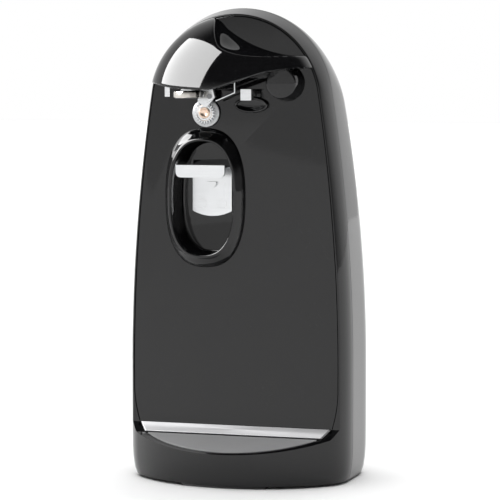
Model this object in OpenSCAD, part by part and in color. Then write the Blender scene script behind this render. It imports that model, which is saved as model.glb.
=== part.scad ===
// Upright electric can opener.
// The front faces -Y and +Z is up. The origin is under the middle of the case, on the surface it
// stands on. All the gears, the motor and the lever turn about axes along Y.

/* [Case] */
// Width across the widest part of the case
body_w = 131; // [125:1:160]
// Depth from the front edge of the shelf to the back
body_d = 114; // [110:1:140]
// Height from the table to the top of the case
body_h = 268; // [255:1:325]
// Wall thickness of the case mouldings
wall = 2.4; // [1.8:0.2:3]
// Height at which the case is widest
widest_z = 63; // [55:1:70]
// Depth of the shelf in front of the panel
shelf_depth = 29; // [26:1:34]
// Depth of the front housing behind the panel face
band_d = 14; // [12:1:16]

/* [Front panel] */
// Drop of the panel's top edge below the top of the case
panel_drop = 3.6; // [2:0.2:5]
// Width of the case's rim round the panel
panel_rim = 0.8; // [0.6:0.2:3]
// Thickness of the front panel moulding
panel_t = 2.4; // [1.8:0.2:3]
// Height of the top edge of the sloping trim strip
strip_z = 31.8; // [29:0.2:34]
// How far the sloping strip comes forward and down
strip_rise = 5.2; // [4:0.2:6.2]
// How far the shelf falls from the strip to its front edge
shelf_fall = 7.3; // [5:0.1:9]

/* [Feed wheel] */
// Sideways place of the feed wheel
feed_x = -16.5; // [-20:0.5:-14]
// Distance of the feed wheel's axis below the top of the case
feed_drop = 59; // [55:1:62]
// Diameter of the toothed feed wheel over its teeth
feed_wheel_d = 13.4; // [12:0.2:14.4]
// Number of teeth on the feed wheel
feed_teeth = 22; // [16:1:26]
// Diameter of the plain disc behind it
feed_disc_d = 16; // [15.2:0.2:17]
// Diameter of the feed shaft
feed_shaft_d = 6.4; // [5.2:0.2:6.8]

/* [Bottle opener] */
// Sideways place of the bottle opener
opener_x = -17.5; // [-20:0.5:-16]
// Height of the middle of the bottle opener
opener_z = 161; // [150:1:162]
// Width of the oval collar at the panel
collar_w = 47.5; // [44:0.5:50]
// Height of the oval collar at the panel
collar_h = 78.8; // [70:0.2:80]
// Width of the recess
recess_w = 36.8; // [30.4:0.2:38]
// Height of the recess
recess_h = 63.8; // [56:0.2:66]
// Depth of the recess behind the panel face
recess_d = 14; // [11:0.5:14]
// How far the collar stands out
collar_rise = 6.5; // [5:0.5:8]
// Width of the opener's lip
lip_w = 29; // [26:1:30]

/* [Lever] */
// Drop of the lever's crown below the top of the case
ball_drop = 4.2; // [3:0.2:5]
// How far the lever's nose stands out
nose_d = 28; // [23:1:29]
// Sideways place of the lever's pivot
pivot_x = 30.5; // [28:0.5:32]
// Distance of the pivot below the top of the case
pivot_drop = 42; // [41:0.5:43]
// Diameter of the lever's shaft
lever_shaft_d = 8; // [6:0.5:9]
// Wall thickness of the lever
lever_wall = 2.6; // [2:0.2:3.2]

/* [Magnet] */
// Diameter of the magnet's cup
magnet_d = 15; // [13:0.2:15.4]
// Height of the magnet and its cup
magnet_t = 4.4; // [3.6:0.2:4.6]

/* [Gears] */
// Teeth on each pinion
pinion_teeth = 12; // [12:1:14]
// Teeth on the gear of the feed shaft
final_teeth = 54; // [50:1:54]
// Teeth on the second gear
second_teeth = 48; // [44:1:48]
// Teeth on the first gear
first_teeth = 60; // [54:1:60]
// Module of the feed shaft's gear
final_module = 1; // [0.9:0.05:1]
// Module of the second gear
second_module = 0.8; // [0.7:0.05:0.8]
// Module of the first gear and the motor's pinion
first_module = 0.6; // [0.5:0.05:0.6]

/* [Motor] */
// Width of the motor's lamination stack
core_w = 48; // [44:1:52]
// Thickness of the lamination stack
core_t = 18; // [14:1:18]
// Diameter of the rotor
rotor_d = 24; // [20:1:25]
// Diameter of the grinding wheel
grinder_d = 20; // [17:1:21]

/* [Fits] */
// Gap between parts that are assembled
gap = 0.15; // [0.1:0.05:0.3]
// Running clearance on the radius of a turning shaft
run = 0.04; // [0.02:0.01:0.08]
// Clearance on the radius of a part fixed on its shaft
seat = 0.02; // [0.01:0.01:0.03]

/* [Hidden] */

far = 400;
body_z = 1.5;
floor_t = 2.5;
clip_t = 0.8;
low_z = 28;
half_w = body_w / 2;
y_front = -body_d / 2;
y_panel = y_front + shelf_depth;
y_joint = y_panel + band_d;
y_back = body_d / 2;
panel_back = y_panel + panel_t;

// Radii of the plan: front, front corners, rear corners and back
front_r = 82 * body_w / 131;
front_corner_r = 30;
rear_r = 90 * body_w / 131;
rear_corner_r = 38;
front_cy = y_front + front_r;
rear_cy = y_back - rear_r;
front_corner_x = half_w - front_corner_r;
rear_corner_x = half_w - rear_corner_r;
front_corner_y = front_cy - sqrt(pow(front_r - front_corner_r, 2) - pow(front_corner_x, 2));
rear_corner_y = rear_cy + sqrt(pow(rear_r - rear_corner_r, 2) - pow(rear_corner_x, 2));
front_sweep = asin(front_corner_x / (front_r - front_corner_r));
rear_sweep = asin(rear_corner_x / (rear_r - rear_corner_r));

// The top of the case is an arch whose radius is this share of its half width
arch_share = 0.81;
// Behind the front corners the top curves down over this height to the back
dome_y = front_corner_y;
dome_drop = 106;
// Steps at which the foot of the case tucks in: height, and how far in
foot_steps = [[low_z, 0], [17.5, 0.1], [11, 0.5], [5, 1.4], [body_z, 2.6]];

function arc_pts(cx, cy, r, a0, a1, n) =
    [for (i = [0:n]) let (a = a0 + (a1 - a0) * i / n) [cx + r * cos(a), cy + r * sin(a)]];
function tail(p) = [for (i = [1:len(p) - 1]) p[i]];
function mirrored(p) = [for (i = [len(p) - 1:-1:0]) [-p[i][0], p[i][1]]];

// Half of the plan outline, moved in by g, from the front round to the back
function panel_angle(g) = max(front_sweep - 89,
    asin(max(-1, (y_panel - front_corner_y) / (front_corner_r - g))));
function corner_pts(g, a0, a1, n) =
    arc_pts(front_corner_x, front_corner_y, front_corner_r - g, a0, a1, n);
function shelf_side(g) = concat(
    tail(arc_pts(0, front_cy, front_r - g, -90, -90 + front_sweep, 4)),
    tail(corner_pts(g, -90 + front_sweep, panel_angle(g), 2)));
function case_side(g) = concat(
    corner_pts(g, panel_angle(g), 0, 3),
    arc_pts(rear_corner_x, rear_corner_y, rear_corner_r - g, 0, 90 - rear_sweep, 5),
    [for (i = [1:3]) let (a = 90 - rear_sweep + rear_sweep * i / 4)
        [(rear_r - g) * cos(a), rear_cy + (rear_r - g) * sin(a)]]);
function half_plan(g) = concat(shelf_side(g), tail(case_side(g)));
function full_plan(g) = concat([[0, y_front + g]], half_plan(g), [[0, y_back - g]],
    mirrored(half_plan(g)));

// Half width of the plan at depth y, moved in by g
function plan_half(y, g) =
    let (fc = front_corner_r - g, rc = rear_corner_r - g, dy = y - rear_cy,
         split = rear_cy + (rear_r - g) * cos(rear_sweep))
    y < front_corner_y ? front_corner_x + sqrt(max(0, fc * fc - pow(y - front_corner_y, 2)))
    : y < rear_corner_y ? half_w - g
    : y < split ? rear_corner_x + sqrt(max(0, rc * rc - pow(y - rear_corner_y, 2)))
    : sqrt(max(1, pow(rear_r - g, 2) - dy * dy));
// Height of the case's top at depth y, moved in by g
function top_at(y, g) =
    y < dome_y ? body_h - g - panel_drop * (dome_y - y) / (dome_y - y_panel)
    : body_h - g - dome_drop * (1 - sqrt(max(0, 1 - pow((y - dome_y) / (y_back - g - dome_y), 2))));

// Half of an arch outline from the height low up to its crown
function arch_half(hw, top, low) =
    let (rt = arch_share * hw, cz = top - rt, up = cz - widest_z,
         rs = (hw * hw + up * up - rt * rt) / (2 * (hw - rt)), th = atan2(up, rs - hw))
    concat([[hw, low]], arc_pts(hw - rs, widest_z, rs, 0, th, 5),
        tail(arc_pts(0, cz, rt, th, 90 - 90 / 16, 8)), [[0, top]]);
function arch(hw, top, low) = let (h = arch_half(hw, top, low))
    concat(h, tail(mirrored(h)));

// Stands a flat shape up in the XZ plane, t thick, with its front face at depth y
module upright(y, t) {
    translate([0, y + t, 0]) rotate([90, 0, 0]) linear_extrude(t) children();
}

// A shape drawn as [y, z] run along X from x0 to x1
module along_x(x0, x1) {
    translate([x0, 0, 0]) rotate([90, 0, 90]) linear_extrude(x1 - x0) children();
}

// A round bar along Y at [x, z]
module bar(p, r, y0, y1, fn = 48) {
    translate([p[0], y1, p[1]]) rotate([90, 0, 0]) cylinder(r = r, h = y1 - y0, $fn = fn);
}

module ring(p, ro, ri, y0, y1, fn = 48) {
    difference() {
        bar(p, ro, y0, y1, fn);
        bar(p, ri, y0 - 1, y1 + 1, fn);
    }
}

// A block given by its two corners
module block(a, b) {
    translate(a) cube(b - a);
}

// Corner points of the case: arches through its depth, and the tucked-in foot below them
function arch_ring(q, g) = [for (p = arch(q[0], top_at(q[1], g), low_z)) [p[0], q[1], p[1]]];
function foot_ring(s, g, low) = [for (p = full_plan(g + s[1])) [p[0], p[1], max(s[0], low)]];
function bullet_pts(g, low) = concat(
    [for (q = case_side(g), p = arch_ring(q, g)) p],
    [[0, y_back - g, body_h - g - dome_drop]],
    [for (s = foot_steps, p = foot_ring(s, g, low)) p]);

// The bullet shape of the case, moved in by g, resting on the height low
module bullet(g, low) {
    pts = bullet_pts(g, low);
    hull() polyhedron(pts, [for (i = [0:3:len(pts) - 3]) [i, i + 1, i + 2]]);
}

// The region in front of the panel and above the shelf, grown by g into the case
strip_foot_y = y_panel - strip_rise;
strip_foot_z = strip_z - strip_rise;
shelf_slope = shelf_fall / (strip_foot_y - y_front);
function scoop_pts(g) = [[y_panel + g, far], [y_panel + g, strip_z - g * 0.41],
    [strip_foot_y + g * 0.27, strip_foot_z - g * 0.96],
    [y_front - 20, strip_foot_z - g - shelf_slope * (strip_foot_y - y_front + 20)],
    [y_front - 20, far]];
module scoop(g) {
    along_x(-far, far) polygon(scoop_pts(g));
}

// How far the panel's lower corners come in, and over what height
corner_in = 3.4;
corner_rise = 22;
// Half width of the panel, and the front edge of the shelf as an arc through three points
panel_half = plan_half(y_panel, 0) - panel_rim;
panel_top = top_at(y_panel, 0) - panel_rim;
shelf_half = panel_half - corner_in;
shelf_front = y_front + 1.5;
shelf_sag = y_panel - shelf_front;
shelf_r = (shelf_half * shelf_half + shelf_sag * shelf_sag) / (2 * shelf_sag);

// Panel outline seen from the front, grown by g
module panel_outline(g) {
    arch_part = arch_half(panel_half + g, panel_top + g, strip_z + corner_rise);
    corner = [for (i = [0:5]) let (t = i / 6)
        [panel_half + g - corner_in * pow(1 - t, 2), strip_z + corner_rise * t]];
    half = concat([[shelf_half + g, 0]], corner, arch_part);
    polygon(concat(half, tail(mirrored(half))));
}

// Upright prism over the shelf, grown by g
module shelf_prism(g) {
    intersection() {
        translate([0, shelf_front + shelf_r, 0])
            cylinder(r = shelf_r + g, h = strip_z + 20, $fn = 180);
        block([-shelf_half - g, y_front - 5, 0], [shelf_half + g, panel_back, strip_z + 20]);
    }
}

// Axes as [x, z]
feed_axis = [feed_x, body_h - feed_drop];
pivot_axis = [pivot_x, body_h - pivot_drop];
function step_axis(from, dist, angle) = from + dist * [cos(angle), sin(angle)];
final_dist = final_module * (pinion_teeth + final_teeth) / 2;
second_dist = second_module * (pinion_teeth + second_teeth) / 2;
first_dist = first_module * (pinion_teeth + first_teeth) / 2;
// Directions from each gear's axis to the next, towards the motor
final_dir = -20;
second_dir = -80;
first_dir = -110;
second_axis = step_axis(feed_axis, final_dist, final_dir);
first_axis = step_axis(second_axis, second_dist, second_dir);
motor_axis = step_axis(first_axis, first_dist, first_dir);

// Depths of the gear train, from the front gear plate backwards
plate_t = 1.5;
y_plate = y_panel + 19.5;
train_y = y_plate + plate_t;
y_rear_plate = train_y + 19.5;
final_y = train_y + 1.5;
final_t = 5;
second_y = final_y + final_t + 1.5;
second_t = 4;
first_y = second_y + second_t + 1.5;
first_t = 3;
y_core = y_rear_plate + plate_t + 4;
y_bracket = y_core + core_t + 3;
y_fan = y_bracket + 4.5;
fan_t = 3.5;
y_grinder = y_fan + fan_t + 0.6;
grinder_t = 3.2;

// Angle that puts a gear of n2 teeth in mesh with one of n1 teeth turned by rho,
// seen from the first gear in the direction phi
function mesh(phi, rho, n1, n2) = phi + 180 - ((rho - phi) * n1 + 180) / n2;

// Flat gear outline: teeth with sloping sides, and a little play
module gear_outline(m, n, turn) {
    r = m * n / 2;
    pitch = 360 / n;
    pts = [for (i = [0:n - 1], k = [[-0.34, -1.1], [-0.12, 0.82], [0.12, 0.82], [0.34, -1.1]])
        let (a = turn + pitch * (i + k[0]), q = r + m * k[1]) [q * cos(a), q * sin(a)]];
    polygon(pts);
}

module gear(p, m, n, turn, y, t) {
    translate([p[0], 0, p[1]]) upright(y, t) gear_outline(m, n, turn);
}

final_turn = 0;
second_pinion_turn = mesh(final_dir, final_turn, final_teeth, pinion_teeth);
second_turn = 0;
first_pinion_turn = mesh(second_dir, second_turn, second_teeth, pinion_teeth);
first_turn = 0;
motor_turn = mesh(first_dir, first_turn, first_teeth, pinion_teeth);

// Screw places
frame_posts = [[-half_w + 19.5, opener_z + 12], [half_w - 19.5, opener_z],
    [feed_x - 5, body_h - 25], [pivot_x + 2.5, body_h - 29]];
post_r = 3.6;
pilot_r = 1.3;
screw_r = 1.5;
case_posts = [[-half_w + 23.5, 45], [half_w - 23.5, 45], [-half_w + 21.5, 105],
    [half_w - 21.5, 105]];
case_post_r = 4;
case_head_y = y_joint + 8;
core_posts = [for (s = [-1, 1]) motor_axis + [s * (core_w / 2 - 5), 11]];

gloss_black = "#17171a";
steel = "#c9cbcc";
dark_steel = "#8d9095";
bronze = "#a9793f";
nylon = "#e9e6da";

// Case

module split_front() {
    block([-far, -far, -far], [far, y_joint - gap / 3, far]);
}

module split_rear() {
    block([-far, y_joint + gap / 3, -far], [far, far, far]);
}

module base_opening(g, z0, z1) {
    translate([0, 0, z0]) linear_extrude(z1 - z0) polygon(full_plan(12 - g));
}

module cavity() {
    difference() {
        bullet(wall, body_z + floor_t);
        scoop(panel_t + 0.1);
        block([-far, -far, strip_z], [far, panel_back, far]);
    }
}

module front_panel() {
    color(gloss_black) difference() {
        union() {
            upright(y_panel, panel_t) intersection() {
                panel_outline(-gap);
                translate([-far, strip_z - 1]) square(2 * far);
            }
            intersection() {
                shelf_prism(-gap);
                difference() {
                    scoop(panel_t);
                    scoop(0);
                }
            }
            for (p = frame_posts) bar(p, post_r, panel_back - 0.5, y_plate);
        }
        upright(y_panel - 1, far) translate([opener_x, opener_z]) cup_outline(gap);
        bar(feed_axis, bushing_r + seat, y_panel - 1, panel_back + 1);
        bar(pivot_axis, lever_bush_r + seat, y_panel - 1, panel_back + 1);
        bar(guide_at, guide_r + seat, y_panel - 1, panel_back + 1);
        for (p = frame_posts) bar(p, pilot_r, panel_back + 1, y_plate + 1);
    }
}

module panel_seat() {
    upright(y_panel - 60, 60 + panel_t + 0.1) intersection() {
        panel_outline(gap);
        translate([-far, strip_z - 2]) square(2 * far);
    }
    intersection() {
        shelf_prism(gap);
        scoop(panel_t + 0.1);
    }
}

// Posts for the case screws, tied to the wall beside them
module case_post_body(y0, y1) {
    for (p = case_posts) {
        bar(p, case_post_r, y0, y1);
        reach = p[0] < 0 ? -30 : 30;
        block([min(p[0], p[0] + reach), y0, p[1] - 1.2],
            [max(p[0], p[0] + reach), min(y1, y0 + 14), p[1] + 1.2]);
    }
}

module front_housing() {
    color(gloss_black) difference() {
        union() {
            difference() {
                intersection() {
                    bullet(0, body_z);
                    split_front();
                }
                cavity();
                scoop(0);
            }
            intersection() {
                bullet(wall / 2, body_z);
                case_post_body(y_joint - 9, y_joint - gap / 3);
            }
        }
        panel_seat();
        base_opening(-0.2, -1, body_z + floor_t + 0.1);
        for (p = case_posts) bar(p, pilot_r, y_joint - 8, y_joint + 1);
    }
}

gland_at = [-24, 24];
gland_r = 5.5;
slot_half = 17;
slot_z = motor_axis[1] + grinder_d / 2 + 2;

module rear_housing() {
    color(gloss_black) difference() {
        union() {
            difference() {
                intersection() {
                    bullet(0, body_z);
                    split_rear();
                }
                cavity();
            }
            intersection() {
                bullet(wall / 2, body_z);
                case_post_body(y_joint + gap / 3, y_back);
            }
        }
        base_opening(-0.2, -1, body_z + floor_t + 0.1);
        for (p = case_posts) {
            bar(p, screw_r + 0.2, y_joint - 1, y_back + 5);
            bar(p, 3.3, case_head_y, y_back + 5);
        }
        bar(gland_at, gland_r + gap, y_joint + 20, y_back + 5);
        block([motor_axis[0] - slot_half - gap, y_back - 18, slot_z - 6 - gap],
            [motor_axis[0] + slot_half + gap, y_back + 5, slot_z + 6 + gap]);
        for (i = [0:5]) {
            block([-18, y_back - 15, 84 + 6 * i], [18, y_back + 5, 86.5 + 6 * i]);
        }
    }
}

module base_plate() {
    color("#202022") {
        base_opening(-0.4, body_z, body_z + floor_t + 0.2);
        base_opening(2.5, body_z + floor_t + 0.2, body_z + floor_t + 1.8);
    }
}

module trim_strip() {
    t = 0.6;
    color(steel) intersection() {
        along_x(-shelf_half + 0.4, shelf_half - 0.4)
            polygon([[y_panel - 0.3, strip_z - 0.3], [strip_foot_y + 0.3, strip_foot_z + 0.3],
                [strip_foot_y + 0.3 - t, strip_foot_z + 0.3 + t],
                [y_panel - 0.3 - t, strip_z - 0.3 + t]]);
        shelf_prism(-0.4);
    }
}

module shelf_pad() {
    t = 0.6;
    y0 = y_front - 5;
    y1 = strip_foot_y - 1.2;
    z1 = strip_foot_z - shelf_slope * 1.2;
    z0 = z1 - shelf_slope * (y1 - y0);
    color("#8a8b8e") intersection() {
        along_x(-50, 50) polygon([[y0, z0], [y1, z1], [y1, z1 + t], [y0, z0 + t]]);
        translate([0, shelf_front + 1.2 + shelf_r, 0]) cylinder(r = shelf_r, h = 60, $fn = 180);
    }
}

// Bottle opener

oval_power = 2.5;
function oval_pts(w, h) = [for (i = [0:59]) let (a = 6 * i, c = cos(a), s = sin(a))
    [w / 2 * sign(c) * pow(abs(c), 2 / oval_power), h / 2 * sign(s) * pow(abs(s), 2 / oval_power)]];
cup_t = 2;

module cup_outline(g) {
    polygon(oval_pts(recess_w + 2 * cup_t + 2 * g, recess_h + 2 * cup_t + 2 * g));
}

module opener_collar() {
    y_out = y_panel - collar_rise;
    color(gloss_black) translate([opener_x, 0, opener_z]) difference() {
        hull() {
            upright(y_panel - gap - 0.4, 0.4) polygon(oval_pts(collar_w, collar_h));
            upright(y_panel - 2.5, 0.1) polygon(oval_pts(collar_w - 1.4, collar_h - 1.4));
            upright(y_out + 0.8, 0.1) polygon(oval_pts(recess_w + 4.4, recess_h + 4.4));
            upright(y_out, 0.1) polygon(oval_pts(recess_w + 2.6, recess_h + 2.6));
        }
        upright(y_out - 1, collar_rise + 2) polygon(oval_pts(recess_w, recess_h));
    }
}

recess_back = y_panel + recess_d;
opener_holes = [for (s = [-1, 1]) [opener_x + s * 6, opener_z - 4]];

module recess_cup() {
    color(gloss_black) difference() {
        translate([opener_x, 0, opener_z]) difference() {
            upright(y_panel, recess_d + cup_t) cup_outline(0);
            upright(y_panel - 1, recess_d + 1) polygon(oval_pts(recess_w, recess_h));
        }
        for (p = opener_holes) bar(p, pilot_r, recess_back - 1, recess_back + 5);
    }
}

module bottle_opener() {
    t = 1.5;
    half = 11.7;
    y_plate_face = recess_back - t - gap;
    lip_x = opener_x - 1.2;
    lip_z = opener_z + 18.6;
    lip_y = y_panel - collar_rise + 0.5;
    color(steel) difference() {
        union() {
            // back plate with its curved foot
            intersection() {
                block([opener_x - half, y_plate_face, opener_z - 12],
                    [opener_x + half, y_plate_face + t, lip_z]);
                bar([opener_x, opener_z + 14], 25, y_plate_face - 1, y_plate_face + t + 1, 96);
            }
            // bridge that comes forward, and the turned-down lip
            block([opener_x - half, lip_y, lip_z - t], [opener_x + half, y_plate_face + t, lip_z]);
            intersection() {
                block([lip_x - lip_w / 2, lip_y, lip_z - 7], [lip_x + lip_w / 2, lip_y + t, lip_z]);
                union() {
                    block([lip_x - lip_w / 2 + 3, lip_y, lip_z - 7],
                        [lip_x + lip_w / 2 - 3, lip_y + t, lip_z]);
                    block([lip_x - lip_w / 2, lip_y, lip_z - 4],
                        [lip_x + lip_w / 2, lip_y + t, lip_z]);
                    for (s = [-1, 1])
                        bar([lip_x + s * (lip_w / 2 - 3), lip_z - 4], 3, lip_y, lip_y + t);
                }
            }
            // punched catch
            bar([opener_x, opener_z + 8], 3, y_plate_face - 2, y_plate_face + t);
        }
        block([opener_x - 5, y_plate_face - 5, opener_z + 8.6],
            [opener_x + 5, y_plate_face, opener_z + 12]);
        for (p = opener_holes) {
            bar(p, screw_r, y_plate_face - 5, recess_back);
            opener_head(p, y_plate_face - 0.01, seat);
        }
    }
}

// Flush head of a screw, with its face at depth y
module opener_head(p, y, g) {
    translate([p[0], y, p[1]]) rotate([-90, 0, 0])
        cylinder(r1 = 2.6 + g, r2 = pilot_r + g, h = 1.3, $fn = 32);
}

module opener_screws() {
    color(dark_steel) for (p = opener_holes) {
        bar(p, pilot_r - 0.05, recess_back - 1, recess_back + cup_t - 0.3);
        opener_head(p, recess_back - 1.5 - gap, -0.05);
    }
}

// Lever and cutter

lever_back = y_panel - 0.5;
lever_inner_y = lever_back - lever_wall;
dome_r = panel_half + panel_rim;
ball_r = arch_share * dome_r;
ball_z = body_h - ball_drop - ball_r;

// The lever's outside: part of a ball flattened along Y
module lever_ball(g) {
    n = 14;
    pts = [for (i = [0:n]) let (a = 90 * i / n) [(ball_r - g) * cos(a), (nose_d + 1 - g) * sin(a)]];
    translate([0, y_panel, ball_z]) rotate([90, 0, 0]) rotate_extrude($fn = 96)
        polygon(concat([[0, -1], [ball_r - g, -1]], pts));
}

// Hollow swept out of the lever's top, on the right
module lever_scoop(g) {
    r = 72;
    translate([40, y_panel, body_h + 45]) rotate([90, 0, 0])
        cylinder(r = r + g, h = 2 * far, center = true, $fn = 180);
}

// The underside of the lever, seen from the front, moved up by g
module lever_under(g) {
    zf = pivot_axis[1];
    upright(-far, 2 * far) polygon([[-70, zf + 2 + g], [-46, zf - 0.4 + g], [-30, zf - 3 + g],
        [-14, zf - 3.9 + g], [-4, zf - 3.6 + g], [6, zf - 0.6 + g], [16, zf + 2.8 + g],
        [27, zf + 6.2 + g], [46, zf + 8.4 + g], [70, zf + 9 + g], [70, -10], [-70, -10]]);
}

boss_d = 12;

module cutting_lever() {
    color(gloss_black) difference() {
        union() {
            difference() {
                lever_ball(0);
                lever_scoop(0);
                lever_under(0);
                difference() {
                    lever_ball(lever_wall);
                    lever_scoop(lever_wall);
                    block([-far, lever_inner_y, 0], [far, far, far]);
                    block([pivot_x - 14, -far, 0], [far, far, far]);
                }
                block([-far, lever_back, 0], [far, far, far]);
            }
            translate([pivot_axis[0], lever_back, pivot_axis[1]]) rotate([90, 0, 0])
                cylinder(r1 = 10.4, r2 = 8.6, h = boss_d, $fn = 64);
        }
        bar(pivot_axis, lever_shaft_d / 2 + seat, lever_back - boss_d + 2.5, far);
    }
}

lever_shaft_y = lever_back - boss_d + 2.6;
lever_bush_r = lever_shaft_d / 2 + 2;
cam_y = y_panel + 6.4;
cam_t = 4.6;
clip_y = cam_y + cam_t + 0.2;

module lever_shaft() {
    color(dark_steel) bar(pivot_axis, lever_shaft_d / 2, lever_shaft_y, clip_y + 1.2);
}

module lever_bushing() {
    color(bronze) {
        ring(pivot_axis, lever_bush_r, lever_shaft_d / 2 + run, y_panel - 0.2, y_panel + 6);
        ring(pivot_axis, lever_bush_r + 1.5, lever_bush_r - 0.5, panel_back + 0.05, panel_back + 1.2);
    }
}

module lever_cam() {
    color(nylon) difference() {
        union() {
            bar(pivot_axis, 6, cam_y, cam_y + cam_t);
            block([pivot_axis[0] - 2, cam_y, pivot_axis[1] - 9.8],
                [pivot_axis[0] + 2, cam_y + cam_t, pivot_axis[1]]);
        }
        bar(pivot_axis, lever_shaft_d / 2 + seat, cam_y - 1, cam_y + cam_t + 1);
    }
}

module lever_clip() {
    color(dark_steel)
        ring(pivot_axis, lever_shaft_d / 2 + 2, lever_shaft_d / 2 + seat, clip_y, clip_y + clip_t);
}

wheel_front = y_panel - 4.6;
wheel_t = 2.4;
blade_y = wheel_front - 1.7;
blade_t = 1.3;
bracket_t = 1.6;
bracket_y = blade_y - bracket_t - 0.02;
rivets = [feed_axis + [4.2, 9.4], feed_axis + [-0.6, 10.4]];

module cutter_bracket() {
    top = feed_axis[1] + 27;
    color(steel) difference() {
        union() {
            upright(bracket_y, bracket_t) translate(feed_axis) polygon([[-3.4, 8.2], [2.2, 5.6],
                [5, 7.2], [7.2, 9.1], [6.2, 13], [6.2, 27], [-6, 27], [-6, 13], [-3.4, 12]]);
            block([feed_x - 6, bracket_y, top - bracket_t], [feed_x + 6.2, lever_inner_y, top]);
            block([feed_x - 6, lever_inner_y - bracket_t, top - 10], [feed_x + 6.2, lever_inner_y, top]);
        }
        for (p = rivets) bar(p, 1 + seat, bracket_y - 1, bracket_y + 3);
    }
}

module cutting_blade() {
    color(steel) difference() {
        upright(blade_y, blade_t) translate(feed_axis) polygon([[-3.4, 6], [1.7, 3.1], [7.2, 9.1],
            [6.4, 12.6], [-3, 12.6]]);
        for (p = rivets) bar(p, 1 + seat, blade_y - 1, blade_y + 3);
    }
}

module cutter_rivets() {
    color(dark_steel) for (p = rivets) {
        bar(p, 1, bracket_y - 0.1, blade_y + blade_t, 24);
        bar(p, 1.5, bracket_y - 0.6, bracket_y - 0.02, 24);
    }
}

module blade_wire() {
    r = 0.5;
    y = bracket_y + 1;
    start = [feed_axis[0] + 7.6, feed_axis[1] + 6.8];
    bend = start + [11, 4.7];
    top = bend[1] + 9;
    run_len = norm(bend - start);
    color(steel) {
        translate([start[0], y, start[1]]) rotate([0, atan2(11, 4.7), 0])
            cylinder(r = r, h = run_len, $fn = 24);
        translate([bend[0], y, bend[1] - r]) cylinder(r = r, h = 9 + 2 * r, $fn = 24);
        bar([bend[0], top], r, y - r, lever_inner_y, 24);
    }
}

magnet_at = [feed_x - 6, y_panel - 17, pivot_axis[1] - 8.9];
magnet_pin_z = pivot_axis[1] + 1;
magnet_arm_half = 3;
magnet_ear_x = magnet_arm_half + 0.5;

module magnet_cup() {
    color(steel) translate(magnet_at) difference() {
        translate([0, 0, 0.5]) cylinder(d = magnet_d, h = magnet_t - 0.5, $fn = 64);
        translate([0, 0, -1]) cylinder(d = magnet_d - 1.6, h = magnet_t + 0.2, $fn = 64);
    }
}

module magnet() {
    color("#b9aa98") translate(magnet_at)
        cylinder(d = magnet_d - 1.7, h = magnet_t - 0.9, $fn = 64);
}

// Eye that hangs the magnet on its pin
module magnet_arm() {
    color(steel) difference() {
        block([magnet_at[0] - magnet_arm_half, magnet_at[1] - 2, magnet_at[2] + magnet_t],
            [magnet_at[0] + magnet_arm_half, magnet_at[1] + 2, magnet_pin_z + 2]);
        translate([magnet_at[0] - 10, magnet_at[1], magnet_pin_z]) rotate([0, 90, 0])
            cylinder(r = 1 + run, h = 20, $fn = 32);
    }
}

// Two ears that hold the pin, and a stop leg at the left that shows below the lever
module magnet_bracket() {
    x = magnet_at[0];
    leg_x = x - 13;
    leg_y = y_panel - 12;
    z = magnet_pin_z;
    color(steel) difference() {
        union() {
            for (s = [-1, 1]) {
                block([x + s * (magnet_ear_x + 0.5) - 0.5, magnet_at[1] - 2.2, z - 2.4],
                    [x + s * (magnet_ear_x + 0.5) + 0.5, s < 0 ? lever_inner_y : bracket_y, z + 2.4]);
            }
            block([leg_x - 1.5, leg_y - 1.2, z + 1.2], [x + magnet_ear_x + 1, leg_y + 1.2, z + 2.4]);
            block([leg_x - 1.5, leg_y - 1.2, magnet_at[2] + 1], [leg_x + 1.5, leg_y + 1.2, z + 2.4]);
        }
        translate([x - 10, magnet_at[1], z]) rotate([0, 90, 0]) cylinder(r = 1 + seat, h = 20, $fn = 32);
    }
}

module magnet_pin() {
    half = magnet_ear_x + 1.6;
    color(dark_steel) translate([magnet_at[0] - half, magnet_at[1], magnet_pin_z]) rotate([0, 90, 0])
        cylinder(r = 1, h = 2 * half, $fn = 32);
}

// Feed wheel and its shaft

bushing_r = feed_shaft_d / 2 + 1.8;

module feed_wheel() {
    t = wheel_t;
    n = feed_teeth;
    color(steel) difference() {
        translate([feed_axis[0], 0, feed_axis[1]]) upright(wheel_front, t)
            polygon([for (i = [0:n - 1], k = [[0, 0], [0.5, 1]]) let (a = 360 / n * (i + k[0]),
                q = feed_wheel_d / 2 - 1.1 + 1.1 * k[1]) [q * cos(a), q * sin(a)]]);
        bar(feed_axis, feed_shaft_d / 2 + seat, wheel_front - 1, wheel_front + t + 1);
    }
}

module feed_disc() {
    color(steel)
        ring(feed_axis, feed_disc_d / 2, feed_shaft_d / 2 + seat,
            wheel_front + wheel_t + 0.05, y_panel - 0.6, 64);
}

module feed_shaft() {
    color("#b98a6a") bar(feed_axis, feed_shaft_d / 2, wheel_front - 0.9, y_rear_plate + 7);
}

module shaft_bushing_front() {
    color(bronze) {
        ring(feed_axis, bushing_r, feed_shaft_d / 2 + run, y_panel - 0.3, y_panel + 8);
        ring(feed_axis, bushing_r + 1.5, bushing_r - 0.5, panel_back + 0.05, panel_back + 1.2);
    }
}

module shaft_bushing_rear() {
    color(bronze) {
        ring(feed_axis, bushing_r, feed_shaft_d / 2 + run, y_rear_plate - 1.5, y_rear_plate + 4.5);
        ring(feed_axis, bushing_r + 1.5, bushing_r - 0.5, y_rear_plate - 1.6, y_rear_plate - 0.05);
    }
}

module shaft_clip() {
    color(dark_steel)
        ring(feed_axis, feed_shaft_d / 2 + 2, feed_shaft_d / 2 + seat,
            y_rear_plate + 5, y_rear_plate + 5 + clip_t);
}

// Can guide

guide_at = [feed_x + 26.8, feed_axis[1] + 10.3];
guide_r = 2.7;

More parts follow.
